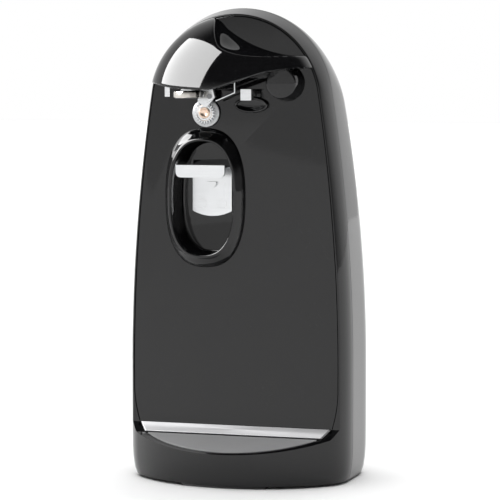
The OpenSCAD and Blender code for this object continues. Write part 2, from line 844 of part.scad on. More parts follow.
module can_guide() {
    color(steel) {
        bar(guide_at, guide_r, y_panel - 8.5, panel_back + 3);
        block([guide_at[0] - 3.1, y_panel - 12, guide_at[1] - 3.1],
            [guide_at[0] + 3.1, y_panel - 8, guide_at[1] + 3.1]);
    }
}

module guide_bezel() {
    at = [guide_at[0], guide_at[1] - 5.6];
    color(gloss_black) difference() {
        translate([at[0], 0, at[1]]) difference() {
            upright(y_panel - 2.8, 2.8 - 0.05) scale([19.6, 9.4]) circle(d = 1, $fn = 64);
            upright(y_panel - 4, 3) scale([16.4, 6.6]) circle(d = 1, $fn = 64);
        }
        bar(guide_at, guide_r + gap, y_panel - 5, y_panel + 1);
    }
}

// Gear frame

module gear_plate_outline() {
    spread = 7;
    polygon([frame_posts[0] + [-spread, -spread], frame_posts[0] + [-spread, spread],
        frame_posts[2] + [-spread, spread], frame_posts[2] + [spread, spread + 1],
        frame_posts[3] + [4, spread], frame_posts[3] + [8, 0],
        frame_posts[1] + [spread, spread], frame_posts[1] + [spread, -spread],
        motor_axis + [20, -14], motor_axis + [-20, -14]]);
}

// Section of the room inside the case at depth y
module inside_case(y) {
    g = wall + 0.5;
    polygon(arch(plan_half(y, g), top_at(y, g), low_z));
}

module front_gear_plate() {
    color(steel) difference() {
        upright(y_plate, plate_t) intersection() {
            gear_plate_outline();
            inside_case(train_y);
        }
        bar(feed_axis, feed_shaft_d / 2 + 1, y_plate - 1, train_y + 1);
        bar(second_axis, 2 + seat, y_plate - 1, train_y + 1);
        bar(first_axis, 1.5 + seat, y_plate - 1, train_y + 1);
        for (p = frame_posts) bar(p, screw_r + 0.1, y_plate - 1, train_y + 1);
    }
}

module rear_gear_plate() {
    y0 = y_rear_plate;
    color(steel) difference() {
        upright(y0, plate_t) intersection() {
            gear_plate_outline();
            inside_case(y0 + plate_t);
        }
        bar(feed_axis, bushing_r + seat, y0 - 1, y0 + 3);
        bar(second_axis, 2 + seat, y0 - 1, y0 + 3);
        bar(first_axis, 1.5 + seat, y0 - 1, y0 + 3);
        bar(motor_axis, motor_bush_r + seat, y0 - 1, y0 + 3);
        for (p = concat(frame_posts, core_posts)) bar(p, screw_r + 0.1, y0 - 1, y0 + 3);
    }
}

module frame_spacers() {
    color(steel) for (p = frame_posts) ring(p, post_r, screw_r + 0.1, train_y, y_rear_plate);
}

module frame_screws() {
    color(dark_steel) for (p = frame_posts) {
        bar(p, 2.9, y_rear_plate + plate_t, y_rear_plate + plate_t + 2);
        bar(p, screw_r, y_plate + 0.1, y_rear_plate + plate_t + 1);
        bar(p, pilot_r - 0.05, y_plate - 8, y_plate + 0.2);
    }
}

module gear_pins() {
    color(steel) {
        bar(second_axis, 2, y_plate, y_rear_plate + plate_t);
        bar(first_axis, 1.5, y_plate, y_rear_plate + plate_t);
    }
}

module final_gear() {
    color(nylon) difference() {
        union() {
            gear(feed_axis, final_module, final_teeth, final_turn, final_y, final_t);
            bar(feed_axis, 7, final_y, second_y + second_t);
        }
        bar(feed_axis, feed_shaft_d / 2 + seat, final_y - 1, y_rear_plate);
    }
}

module second_gear() {
    color(nylon) difference() {
        union() {
            gear(second_axis, final_module, pinion_teeth, second_pinion_turn,
                final_y - 0.8, final_t + 1.6);
            bar(second_axis, 5, final_y + final_t + 0.4, second_y + second_t + 1);
            gear(second_axis, second_module, second_teeth, second_turn, second_y, second_t);
        }
        bar(second_axis, 2 + run, train_y, y_rear_plate);
    }
}

module first_gear() {
    color(nylon) difference() {
        union() {
            gear(first_axis, second_module, pinion_teeth, first_pinion_turn,
                second_y - 0.8, second_t + 1.6);
            bar(first_axis, 3.8, second_y - 0.8, first_y + first_t + 1);
            gear(first_axis, first_module, first_teeth, first_turn, first_y, first_t);
        }
        bar(first_axis, 1.5 + run, train_y, y_rear_plate);
    }
}

// Motor

motor_bush_r = 4;
motor_shaft_r = 1.5;

module motor_core() {
    a = motor_axis;
    half = core_w / 2;
    color("#6d7076") difference() {
        upright(y_core, core_t) difference() {
            translate([a[0] - half, a[1] - 45]) square([core_w, 62]);
            translate(a) circle(d = rotor_d + 1, $fn = 96);
            translate([a[0] - half + 10, a[1] - 35]) square([core_w - 20, 19]);
        }
        for (p = core_posts) bar(p, screw_r + 0.1, y_core - 1, y_core + core_t + 1);
    }
}

// Window of the coil's bobbin round the lower limb, and the winding on it
module coil_block(half_x, spread) {
    a = motor_axis;
    block([a[0] - half_x, y_core - spread, a[1] - 45 - spread],
        [a[0] + half_x, y_core + core_t + spread, a[1] - 35 + spread]);
}

module coil_bobbin() {
    color("#2d2f33") difference() {
        union() {
            coil_block(13, 1.2);
            for (s = [-1, 1]) translate([s * 12.4, 0, 0]) coil_block(0.6, 8.6);
        }
        coil_block(20, 0.1);
    }
}

module motor_coil() {
    color("#b5622d") difference() {
        coil_block(11.7, 8);
        coil_block(20, 1.25);
    }
}

module rotor_core() {
    color("#7f8288") ring(motor_axis, rotor_d / 2, motor_shaft_r + seat, y_core, y_core + core_t, 96);
}

module rotor_shaft() {
    color(steel) bar(motor_axis, motor_shaft_r, first_y - 1, y_grinder + grinder_t + 0.5);
}

module motor_pinion() {
    color(bronze) difference() {
        gear(motor_axis, first_module, pinion_teeth, motor_turn, first_y - 0.7, first_t + 1.4);
        bar(motor_axis, motor_shaft_r + seat, first_y - 3, first_y + 8);
    }
}

module motor_bushings() {
    color(bronze) {
        ring(motor_axis, motor_bush_r, motor_shaft_r + run, y_rear_plate - 0.5, y_rear_plate + 4.5);
        ring(motor_axis, motor_bush_r, motor_shaft_r + run, y_bracket - 0.7, y_bracket + 3.7);
    }
}

module motor_rear_bracket() {
    a = motor_axis;
    color("#b6b8bb") difference() {
        union() {
            block([a[0] - core_w / 2 + 1, y_bracket, a[1] - 6],
                [a[0] + core_w / 2 - 1, y_bracket + 2, a[1] + 14.5]);
            for (p = core_posts) bar(p, post_r, y_core + core_t, y_bracket + 1);
        }
        bar(a, motor_bush_r + seat, y_bracket - 3, y_bracket + 5);
        for (p = core_posts) bar(p, screw_r + 0.1, y_core, y_bracket + 5);
    }
}

module motor_spacers() {
    color(steel) for (p = core_posts) ring(p, post_r, screw_r + 0.1, y_rear_plate + plate_t, y_core);
}

module motor_screws() {
    color(dark_steel) for (p = core_posts) {
        bar(p, screw_r, y_rear_plate - 3, y_bracket + 2.5);
        bar(p, 2.9, y_bracket + 2, y_bracket + 4);
        ring(p, 2.9, screw_r - 0.2, y_rear_plate - 2.5, y_rear_plate);
    }
}

module cooling_fan() {
    color("#dcdcd8") difference() {
        union() {
            bar(motor_axis, 4.5, y_fan, y_fan + fan_t);
            for (i = [0:6]) translate([motor_axis[0], y_fan + fan_t / 2, motor_axis[1]])
                rotate([0, i * 360 / 7, 0]) rotate([28, 0, 0])
                translate([3.5, -0.5, -2.2]) cube([12, 1, 4.4]);
        }
        bar(motor_axis, motor_shaft_r + seat, y_fan - 2, y_fan + 6);
    }
}

module grinding_wheel() {
    color("#6f7a86")
        ring(motor_axis, grinder_d / 2, motor_shaft_r + seat, y_grinder, y_grinder + grinder_t, 64);
}

module sharpener_guide() {
    x = motor_axis[0];
    color("#1e1e20") difference() {
        intersection() {
            block([x - slot_half, y_back - 9, slot_z - 6], [x + slot_half, y_back + 2, slot_z + 6]);
            translate([0, rear_cy, 0]) cylinder(r = rear_r - 0.4, h = far, $fn = 180);
        }
        block([x - slot_half - 2, y_back - 12, slot_z - 2.5],
            [x + slot_half + 2, y_back + 4, slot_z + 2.5]);
        bar(motor_axis, grinder_d / 2 + 1, y_back - 12, y_grinder + grinder_t + 1);
        bar(motor_axis, motor_shaft_r + 1, y_back - 12, y_back - 2);
    }
    color("#1e1e20") for (s = [-1, 1]) intersection() {
        block([x + s * (slot_half - 1) - 1, y_back - 9, slot_z - 3],
            [x + s * (slot_half - 1) + 1, y_back - 6.5, slot_z + 3]);
        translate([0, rear_cy, 0]) cylinder(r = rear_r - 0.4, h = far, $fn = 180);
    }
}

// Switch

switch_top = pivot_axis[1] - 14;
plunger_rise = 3.5;

module switch_body() {
    x = pivot_axis[0];
    color("#2a2c30") difference() {
        block([x - 9, cam_y - 1.5, switch_top - 11], [x + 9, cam_y + cam_t + 1, switch_top]);
        translate([x, cam_y + cam_t / 2, switch_top - 6]) cylinder(r = 1.6 + run, h = 10, $fn = 32);
    }
}

module switch_plunger() {
    color("#c2332b") translate([pivot_axis[0], cam_y + cam_t / 2, switch_top - 4])
        cylinder(r = 1.6, h = 4 + plunger_rise, $fn = 32);
}

module switch_bracket() {
    x = pivot_axis[0];
    color(steel) block([x - 7, cam_y + cam_t + 1, switch_top - 10], [x + 7, y_plate, switch_top - 2]);
}

// Cord inlet, screws and feet

module cord_gland() {
    color("#141416") {
        ring(gland_at, gland_r, 3.3, y_back - 10, y_back - 1.5);
        ring(gland_at, gland_r + 2, 3.3, y_back - 13, y_back - 10);
    }
}

module case_screws() {
    color(dark_steel) for (p = case_posts) {
        bar(p, pilot_r - 0.05, y_joint - 7, y_joint);
        bar(p, screw_r, y_joint, case_head_y + 0.5);
        bar(p, 2.9, case_head_y, case_head_y + 2);
    }
}

module front_foot() {
    color("#1b1b1c") intersection() {
        translate([0, y_front + 3.2 + front_r, 0]) cylinder(r = front_r, h = body_z, $fn = 180);
        block([-24.5, y_front, 0], [24.5, y_front + 15.5, body_z]);
    }
}

module rear_feet() {
    color("#1b1b1c") for (s = [-1, 1]) translate([s * 34, y_back - 27, 0])
        cylinder(r = 7, h = body_z, $fn = 48);
}

front_panel();
front_housing();
rear_housing();
base_plate();
trim_strip();
shelf_pad();
opener_collar();
recess_cup();
bottle_opener();
opener_screws();
cutting_lever();
lever_shaft();
lever_bushing();
lever_cam();
lever_clip();
cutter_bracket();
cutting_blade();
cutter_rivets();
blade_wire();
magnet();
magnet_cup();
magnet_arm();
magnet_bracket();
magnet_pin();
feed_wheel();
feed_disc();
feed_shaft();
shaft_bushing_front();
shaft_bushing_rear();
shaft_clip();
can_guide();
guide_bezel();
front_gear_plate();
rear_gear_plate();
frame_spacers();
frame_screws();
final_gear();
second_gear();
first_gear();
gear_pins();
motor_core();
motor_coil();
coil_bobbin();
rotor_core();
rotor_shaft();
motor_pinion();
motor_bushings();
motor_rear_bracket();
motor_spacers();
motor_screws();
cooling_fan();
grinding_wheel();
sharpener_guide();
switch_body();
switch_plunger();
switch_bracket();
cord_gland();
case_screws();
front_foot();
rear_feet();
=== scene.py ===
# Upright electric can opener: a gloss black case with a front panel, a lifting lever with a
# magnet and cutter, a toothed feed wheel and an oval bottle opener. Sizes are in millimetres
# and are turned into metres as each mesh is made. The front faces -Y.
import math
import bpy
import bmesh
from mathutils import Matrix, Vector


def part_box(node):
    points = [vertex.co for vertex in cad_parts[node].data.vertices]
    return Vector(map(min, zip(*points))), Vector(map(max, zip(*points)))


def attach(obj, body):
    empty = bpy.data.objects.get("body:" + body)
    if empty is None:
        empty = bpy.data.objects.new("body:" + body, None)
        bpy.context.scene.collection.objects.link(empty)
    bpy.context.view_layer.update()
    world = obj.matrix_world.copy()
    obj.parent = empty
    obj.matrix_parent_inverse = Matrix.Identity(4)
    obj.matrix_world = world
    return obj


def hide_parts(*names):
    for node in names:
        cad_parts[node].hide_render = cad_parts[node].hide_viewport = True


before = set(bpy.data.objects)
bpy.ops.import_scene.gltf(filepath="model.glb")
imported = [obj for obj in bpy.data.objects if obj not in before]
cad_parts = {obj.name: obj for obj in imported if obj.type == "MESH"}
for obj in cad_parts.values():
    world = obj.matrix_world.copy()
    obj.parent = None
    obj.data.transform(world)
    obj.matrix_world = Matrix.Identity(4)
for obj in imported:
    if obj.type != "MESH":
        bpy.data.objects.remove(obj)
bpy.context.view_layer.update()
MM = 0.001

# --- Studio -------------------------------------------------------------------------------
# A pale floor that runs out of sight, a bright even surround, and one large soft box at the
# upper left that makes the window-shaped glint on the lever's nose.
camera_data = bpy.data.cameras.new("studio_camera")
camera = bpy.data.objects.new("studio_camera", camera_data)
bpy.context.scene.collection.objects.link(camera)
camera_data.sensor_width = 36.0
camera_data.lens = 2409.7 / 500 * 36.0
camera_azimuth, camera_pitch = math.radians(17.44), math.radians(4.25)
camera_back = Vector((math.sin(camera_azimuth) * math.cos(camera_pitch),
                      -math.cos(camera_azimuth) * math.cos(camera_pitch), math.sin(camera_pitch)))
camera.location = Vector((8.37, -26.0, 131.76)) * MM + camera_back * 1.36
camera.rotation_mode = "QUATERNION"
camera.rotation_quaternion = (-camera_back).to_track_quat("-Z", "Y")
camera_data.clip_start, camera_data.clip_end = 0.05, 60.0
bpy.context.scene.camera = camera
bpy.context.scene.view_settings.view_transform = "Standard"


def soft_box(name, azimuth, elevation, distance, width, height, power):
    """A rectangular lamp that looks at the middle of the opener."""
    lamp = bpy.data.lights.new(name, "AREA")
    lamp.shape, lamp.size, lamp.size_y, lamp.energy = "RECTANGLE", width, height, power
    holder = bpy.data.objects.new(name, lamp)
    bpy.context.scene.collection.objects.link(holder)
    a, e = math.radians(azimuth), math.radians(elevation)
    away = Vector((math.sin(a) * math.cos(e), -math.cos(a) * math.cos(e), math.sin(e)))
    holder.location = Vector((0, 0, 0.2)) + away * distance
    holder.rotation_mode = "QUATERNION"
    holder.rotation_quaternion = (-away).to_track_quat("-Z", "Y")
    return holder


soft_box("window_box", -62, 31, 1.5, 1.6, 1.05, 80).visible_diffuse = False
overhead = bpy.data.lights.new("overhead", "SUN")
overhead.energy, overhead.angle = 3.1, 1.4
overhead_holder = bpy.data.objects.new("overhead", overhead)
overhead_holder.visible_glossy = False
bpy.context.scene.collection.objects.link(overhead_holder)

surround = bpy.data.worlds.new("surround")
bpy.context.scene.world = surround
surround.use_nodes = True
sky = surround.node_tree
sky_coords = sky.nodes.new("ShaderNodeTexCoord")
sky.nodes["Background"].inputs["Color"].default_value = (1, 1, 1, 1)
sky_level = []
for direction, dark_at, white_at in (((0, 0, 1), 0.30, 0.10), ((-0.33, 0.94, 0), -0.1, 0.5)):
    reach = sky.nodes.new("ShaderNodeVectorMath")
    reach.operation = "DOT_PRODUCT"
    reach.inputs[1].default_value = direction
    sky.links.new(sky_coords.outputs["Generated"], reach.inputs[0])
    level = sky.nodes.new("ShaderNodeMapRange")
    level.interpolation_type = "SMOOTHSTEP"
    level.inputs["From Min"].default_value, level.inputs["From Max"].default_value = dark_at, white_at
    level.inputs["To Min"].default_value = 0.06
    sky.links.new(reach.outputs["Value"], level.inputs["Value"])
    sky_level.append(level.outputs["Result"])
sky_most = sky.nodes.new("ShaderNodeMath")
sky_most.operation = "MAXIMUM"
sky.links.new(sky_level[0], sky_most.inputs[0])
sky.links.new(sky_level[1], sky_most.inputs[1])
flag = sky.nodes.new("ShaderNodeVectorMath")
flag.operation = "DOT_PRODUCT"
flag.inputs[1].default_value = (0.985, -0.17, 0)
sky.links.new(sky_coords.outputs["Generated"], flag.inputs[0])
flag_level = sky.nodes.new("ShaderNodeMapRange")
flag_level.interpolation_type = "SMOOTHSTEP"
flag_level.inputs["From Min"].default_value, flag_level.inputs["From Max"].default_value = 0.62, 0.93
flag_level.inputs["To Min"].default_value, flag_level.inputs["To Max"].default_value = 1.0, 0.42
sky.links.new(flag.outputs["Value"], flag_level.inputs["Value"])
sky_final = sky.nodes.new("ShaderNodeMath")
sky_final.operation = "MULTIPLY"
sky.links.new(sky_most.outputs[0], sky_final.inputs[0])
sky.links.new(flag_level.outputs["Result"], sky_final.inputs[1])
sky.links.new(sky_final.outputs[0], sky.nodes["Background"].inputs["Strength"])

floor_mesh = bpy.data.meshes.new("studio_floor")
bm = bmesh.new()
bmesh.ops.create_grid(bm, x_segments=8, y_segments=8, size=9.0)
bm.to_mesh(floor_mesh)
bm.free()
studio_floor = bpy.data.objects.new("studio_floor", floor_mesh)
bpy.context.scene.collection.objects.link(studio_floor)
floor_paint = bpy.data.materials.new("pale_floor")
floor_paint.use_nodes = True
floor_shader = floor_paint.node_tree.nodes["Principled BSDF"]
floor_shader.inputs["Base Color"].default_value = (0.93, 0.93, 0.93, 1)
floor_shader.inputs["Roughness"].default_value = 0.8
floor_shader.inputs["Specular IOR Level"].default_value = 0.2
floor_mesh.materials.append(floor_paint)

# --- Rear housing -------------------------------------------------------------------------
# The deep back half of the case, moulded in gloss black ABS with a bullet-shaped crown. It
# meets the front housing at a fine parting line and is held by four screws set deep in wells.
HALF_W, Y_FRONT, Y_PANEL, Y_JOINT, Y_BACK = 65.5, -57.0, -28.0, -14.0, 57.0
CASE_H, WALL, LOW_Z, WIDEST_Z = 268.0, 2.4, 28.0, 63.0
FRONT_R, FRONT_CORNER_R, REAR_R, REAR_CORNER_R = 82.0, 30.0, 90.0, 38.0
ARCH_SHARE, PANEL_DROP, DOME_DROP, BODY_Z = 0.81, 3.6, 106.0, 1.5
front_cy, rear_cy = Y_FRONT + FRONT_R, Y_BACK - REAR_R
front_cx, rear_cx = HALF_W - FRONT_CORNER_R, HALF_W - REAR_CORNER_R
front_corner_y = front_cy - math.sqrt((FRONT_R - FRONT_CORNER_R) ** 2 - front_cx ** 2)
rear_corner_y = rear_cy + math.sqrt((REAR_R - REAR_CORNER_R) ** 2 - rear_cx ** 2)
front_sweep = math.asin(front_cx / (FRONT_R - FRONT_CORNER_R))
rear_sweep = math.asin(rear_cx / (REAR_R - REAR_CORNER_R))
ROLL = 0.5


def spread(a, b, n):
    return [a + (b - a) * i / n for i in range(n + 1)]


def plan_side(g, y0):
    """Right half of the plan from depth y0 round to the back, moved in by g, as (x, y, nx, ny)."""
    pts = []
    if y0 < front_corner_y:
        start = math.asin(max(-1.0, (y0 - front_corner_y) / (FRONT_CORNER_R - g)))
        pts += [(front_cx + (FRONT_CORNER_R - g) * math.cos(a),
                 front_corner_y + (FRONT_CORNER_R - g) * math.sin(a), math.cos(a), math.sin(a))
                for a in spread(start, 0, 14)]
    pts += [(HALF_W - g, y, 1, 0) for y in spread(front_corner_y, rear_corner_y, 6)[1:-1]]
    pts += [(rear_cx + (REAR_CORNER_R - g) * math.cos(a),
             rear_corner_y + (REAR_CORNER_R - g) * math.sin(a), math.cos(a), math.sin(a))
            for a in spread(0, math.pi / 2 - rear_sweep, 22)]
    pts += [((REAR_R - g) * math.cos(a), rear_cy + (REAR_R - g) * math.sin(a), math.cos(a), math.sin(a))
            for a in spread(math.pi / 2 - rear_sweep, math.pi / 2, 14)[1:]]
    return pts


def plan_front(g):
    """Right half of the plan from the front edge back to the panel."""
    pts = [((FRONT_R - g) * math.cos(a), front_cy + (FRONT_R - g) * math.sin(a), math.cos(a), math.sin(a))
           for a in spread(-math.pi / 2, -math.pi / 2 + front_sweep, 16)]
    last = math.asin((Y_PANEL - front_corner_y) / (FRONT_CORNER_R - g))
    pts += [(front_cx + (FRONT_CORNER_R - g) * math.cos(a),
             front_corner_y + (FRONT_CORNER_R - g) * math.sin(a), math.cos(a), math.sin(a))
            for a in spread(-math.pi / 2 + front_sweep, last, 14)[1:]]
    return pts


def crown_at(y, g):
    """Height of the top of the case at depth y."""
    if y < front_corner_y:
        return CASE_H - g - PANEL_DROP * (front_corner_y - y) / (front_corner_y - Y_PANEL)
    t = min(1.0, (y - front_corner_y) / (Y_BACK - g - front_corner_y))
    return CASE_H - g - DOME_DROP * (1 - math.sqrt(max(0.0, 1 - t * t)))


def arch_points(hw, top, low):
    """Right half of an arch from the height low up to its crown, as (x, z)."""
    rt = ARCH_SHARE * hw
    cz = top - rt
    up = cz - WIDEST_Z
    pts = [(hw, low), (hw, 34.0), (hw, 48.0)]
    if hw < 0.01:
        return pts + [(0.0, z) for z in spread(WIDEST_Z, top, 46)]
    rs = (hw * hw + up * up - rt * rt) / (2 * (hw - rt))
    th = math.atan2(up, rs - hw)
    pts += [(hw - rs + rs * math.cos(a), WIDEST_Z + rs * math.sin(a)) for a in spread(0, th, 18)]
    pts += [(rt * math.cos(a), cz + rt * math.sin(a)) for a in spread(th, math.pi / 2, 28)[1:]]
    return pts


def foot_tuck(z):
    """How far the foot of the case tucks in at height z."""
    steps = [(LOW_Z, 0.0), (17.5, 0.1), (11.0, 0.5), (5.0, 1.4), (BODY_Z, 2.6)]
    for (z1, g1), (z0, g0) in zip(steps, steps[1:]):
        if z >= z0:
            return g0 + (g1 - g0) * (z - z0) / (z1 - z0)
    return steps[-1][1]


def put_mesh(name, verts, faces):
    """A mesh object from points in millimetres."""
    mesh = bpy.data.meshes.new(name)
    mesh.from_pydata([tuple(c * MM for c in v) for v in verts], [], faces)
    bm = bmesh.new()
    bm.from_mesh(mesh)
    bmesh.ops.remove_doubles(bm, verts=bm.verts, dist=0.0004 * MM)
    bmesh.ops.recalc_face_normals(bm, faces=bm.faces)
    if any(not edge.is_manifold for edge in bm.edges):
        raise RuntimeError("the form " + name + " is not closed")
    bm.to_mesh(mesh)
    bm.free()
    piece = bpy.data.objects.new(name, mesh)
    bpy.context.scene.collection.objects.link(piece)
    return piece


def case_bullet(g, low, roll):
    """The whole outside of the case as a closed form, moved in by g. Below the crown's roll it
    follows the arch at each depth; under the shelf it stands on the plan."""
    foot_z = [z for z in (BODY_Z, 3.2, 5.0, 8.0, 11.0, 14.0, 17.5, 22.0) if z > low + 0.2]
    foot_z = [low] + foot_z
    side = plan_side(g, Y_PANEL)
    if roll > 0:
        rim = plan_side(g, Y_PANEL)[0]
        extra = []
        for t in spread(0, math.pi / 2, 8)[1:-1]:
            y = Y_PANEL + roll * (1 - math.sin(math.pi / 2 - t))
            a = math.asin((y - front_corner_y) / (FRONT_CORNER_R - g))
            extra.append((front_cx + (FRONT_CORNER_R - g) * math.cos(a), y, math.cos(a), math.sin(a)))
        side = [rim] + extra + [p for p in side[1:] if p[1] > Y_PANEL + roll]
    verts, faces = [], []

    def add(x, y, z):
        verts.append((x, y, z))
        return len(verts) - 1

    columns = {}
    for s in (1, -1):
        grid = []
        for (x, y, nx, ny) in side:
            ring = []
            for z in foot_z:
                k = foot_tuck(z)
                ring.append(add(s * max(0.0, x - k * nx), y - k * ny, z))
            arch = arch_points(x, crown_at(y, g), LOW_Z)
            for j, (ax, az) in enumerate(arch):
                if roll > 0 and y < Y_PANEL + roll and az > 34.01:
                    back_off = roll - math.sqrt(max(0.0, roll * roll - (Y_PANEL + roll - y) ** 2))
                    a0, a1 = arch[max(0, j - 1)], arch[min(len(arch) - 1, j + 1)]
                    tx, tz = a1[0] - a0[0], a1[1] - a0[1]
                    ln = math.hypot(tx, tz)
                    share = min(1.0, (az - 34) / 9)
                    ax, az = ax - back_off * share * tz / ln, az + back_off * share * tx / ln
                    if j == len(arch) - 1:
                        ax = 0.0
                ring.append(add(s * ax, y, az))
            grid.append(ring)
        for i in range(len(grid) - 1):
            for j in range(len(grid[i]) - 1):
                faces.append((grid[i][j], grid[i + 1][j], grid[i + 1][j + 1], grid[i][j + 1]))
        front_grid = []
        for (x, y, nx, ny) in plan_front(g):
            ring = []
            for z in foot_z:
                k = foot_tuck(z)
                ring.append(add(s * max(0.0, x - k * nx), y - k * ny, z))
            ring += [add(s * x, y, LOW_Z), add(s * x, y, 34.0)]
            front_grid.append(ring)
        for i in range(len(front_grid) - 1):
            for j in range(len(front_grid[i]) - 1):
                faces.append((front_grid[i][j], front_grid[i + 1][j], front_grid[i + 1][j + 1],
                              front_grid[i][j + 1]))
        columns[s] = (grid, front_grid)
    n_foot = len(foot_z)
    right, left = columns[1], columns[-1]
    face_edge = [r for r in right[0][0][n_foot + 1:]] + [r for r in reversed(left[0][0][n_foot + 1:-1])]
    faces.append(tuple(face_edge))
    shelf_edge = [r[-1] for r in right[1]] + [r[-1] for r in reversed(left[1])]
    faces.append(tuple(shelf_edge))
    bottom = ([r[0] for r in right[1]] + [r[0] for r in right[0][1:]]
              + [r[0] for r in reversed(left[0][1:])] + [r[0] for r in reversed(left[1])])
    faces.append(tuple(bottom))
    return put_mesh("bullet", verts, faces)


def loop_prism(name, loops):
    """A closed form lofted through loops of points that all have the same count."""
    verts = [p for loop in loops for p in loop]
    n = len(loops[0])
    faces = [tuple(range(n)), tuple(range(len(verts) - n, len(verts)))]
    for k in range(len(loops) - 1):
        for i in range(n):
            a, b = k * n + i, k * n + (i + 1) % n
            faces.append((a, b, b + n, a + n))
    return put_mesh(name, verts, faces)


def upright(name, outline, y0, y1):
    return loop_prism(name, [[(x, y, z) for x, z in outline] for y in (y0, y1)])


def along_x(name, outline, x0, x1):
    return loop_prism(name, [[(x, y, z) for y, z in outline] for x in (x0, x1)])


def slab(name, a, b):
    return upright(name, [(a[0], a[2]), (b[0], a[2]), (b[0], b[2]), (a[0], b[2])], a[1], b[1])


def rod(name, at, profile, n=64):
    """A turned form along Y at (x, z); profile holds (radius, y) pairs."""
    return loop_prism(name, [[(at[0] + r * math.cos(2 * math.pi * i / n), y,
                               at[1] + r * math.sin(2 * math.pi * i / n)) for i in range(n)]
                             for r, y in profile])


def combine(piece, other, how):
    """Cuts, joins or keeps what two closed forms share, and drops the second form."""
    modifier = piece.modifiers.new("combine", "BOOLEAN")
    modifier.operation, modifier.object, modifier.solver = how, other, "MANIFOLD"
    graph = bpy.context.evaluated_depsgraph_get()
    made = bpy.data.meshes.new_from_object(piece.evaluated_get(graph))
    piece.modifiers.clear()
    old = piece.data
    piece.data = made
    bpy.data.meshes.remove(old)
    bpy.data.objects.remove(other)
    if len(made.polygons) == 0:
        raise RuntimeError("nothing left of " + piece.name + " after " + how)
    return piece


def finish_piece(piece, name, body, nodes, angle=32.0):
    """Names a piece, smooths what is round and gives it to its body."""
    piece.name = name
    piece.data.name = name
    for p in piece.data.polygons:
        p.use_smooth = True
    piece.data.set_sharp_from_angle(angle=math.radians(angle))
    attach(piece, body)
    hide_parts(*nodes)
    return piece


def paint(piece, material):
    piece.data.materials.clear()
    piece.data.materials.append(material)


def full_plan(g):
    right = plan_front(g)[:-1] + plan_side(g, Y_PANEL)
    pts = [(x, y) for x, y, _, _ in right]
    return pts + [(-x, y) for x, y in reversed(pts[1:-1])]


def plan_prism(g, z0, z1):
    return loop_prism("plan", [[(x, y, z) for x, y in full_plan(g)] for z in (z0, z1)])


STRIP_Z, STRIP_RISE, SHELF_FALL, PANEL_T = 31.8, 5.2, 7.3, 2.4
strip_foot_y, strip_foot_z = Y_PANEL - STRIP_RISE, STRIP_Z - STRIP_RISE
shelf_slope = SHELF_FALL / (strip_foot_y - Y_FRONT)
FAR = 400.0


def scoop(g):
    """Everything in front of the panel and above the shelf, grown by g into the case."""
    return along_x("scoop", [
        (Y_PANEL + g, FAR), (Y_PANEL + g, STRIP_Z - g * 0.41),
        (strip_foot_y + g * 0.27, strip_foot_z - g * 0.96),
        (Y_FRONT - 20, strip_foot_z - g - shelf_slope * (strip_foot_y - Y_FRONT + 20)),
        (Y_FRONT - 20, FAR)], -FAR, FAR)


def cavity():
    """The room inside the case, behind the panel and under the shelf."""
    room = case_bullet(WALL, BODY_Z + 2.5, 0)
    combine(room, scoop(PANEL_T + 0.1), "DIFFERENCE")
    ahead = slab("ahead", (-FAR, -FAR, STRIP_Z), (FAR, Y_PANEL + PANEL_T, FAR))
    return combine(room, ahead, "DIFFERENCE")


def screw_wells(y0, y1):
    """Posts for the four case screws, tied to the wall beside them."""
    posts = []
    for x, z in CASE_POSTS:
        posts.append(rod("post", (x, z), [(4.0, y0), (4.0, y1)], 40))
        reach = 30 if x > 0 else -30
        posts.append(slab("web", (min(x, x + reach), y0, z - 1.2),
                          (max(x, x + reach), min(y1, y0 + 14), z + 1.2)))
    whole = posts[0]
    for extra in posts[1:]:
        combine(whole, extra, "UNION")
    return combine(whole, case_bullet(WALL / 2, BODY_Z, 0), "INTERSECT")


CASE_POSTS = [(-42, 45), (42, 45), (-44, 105), (44, 105)]
GLAND_AT = (-24, 24)
motor_lo, motor_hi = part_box("rotor_core")
motor_at = ((motor_lo.x + motor_hi.x) / 2 / MM, (motor_lo.z + motor_hi.z) / 2 / MM)
slot_z = motor_at[1] + 10 + 2

rear_housing = case_bullet(0, BODY_Z, ROLL)
combine(rear_housing, slab("back_half", (-FAR, Y_JOINT + 0.05, -FAR), (FAR, FAR, FAR)), "INTERSECT")
combine(rear_housing, cavity(), "DIFFERENCE")
combine(rear_housing, screw_wells(Y_JOINT + 0.05, Y_BACK), "UNION")
combine(rear_housing, plan_prism(11.8, -1, BODY_Z + 2.6), "DIFFERENCE")
for x, z in CASE_POSTS:
    well = rod("well", (x, z), [(1.7, Y_JOINT - 1), (1.7, -6), (3.3, -6), (3.3, 80)], 40)
    combine(rear_housing, well, "DIFFERENCE")
combine(rear_housing, rod("gland_hole", GLAND_AT, [(5.65, 6), (5.65, 80)], 48), "DIFFERENCE")
SLOT_HALF_W, SLOT_HALF_H = 17.15, 6.15
VENT_COUNT, VENT_STEP, VENT_LOW_Z, VENT_HALF, VENT_R = 6, 6, 85.25, 16.75, 1.25
slot = slab("slot", (motor_at[0] - SLOT_HALF_W, 39, slot_z - SLOT_HALF_H),
            (motor_at[0] + SLOT_HALF_W, 70, slot_z + SLOT_HALF_H))
combine(rear_housing, slot, "DIFFERENCE")
for i in range(VENT_COUNT):
    vent_z = VENT_LOW_Z + VENT_STEP * i
    ends = [(-VENT_HALF, vent_z, 90, 270), (VENT_HALF, vent_z, -90, 90)]
    outline = [(cx + VENT_R * math.cos(math.radians(a)), cz + VENT_R * math.sin(math.radians(a)))
               for cx, cz, a0, a1 in ends for a in spread(a0, a1, 8)]
    combine(rear_housing, upright("vent", outline, 42, 70), "DIFFERENCE")
groove = slab("groove", (-FAR, Y_JOINT - 0.2, -FAR), (FAR, Y_JOINT + 0.35, FAR))
combine(groove, case_bullet(0.45, BODY_Z - 5, 0), "DIFFERENCE")
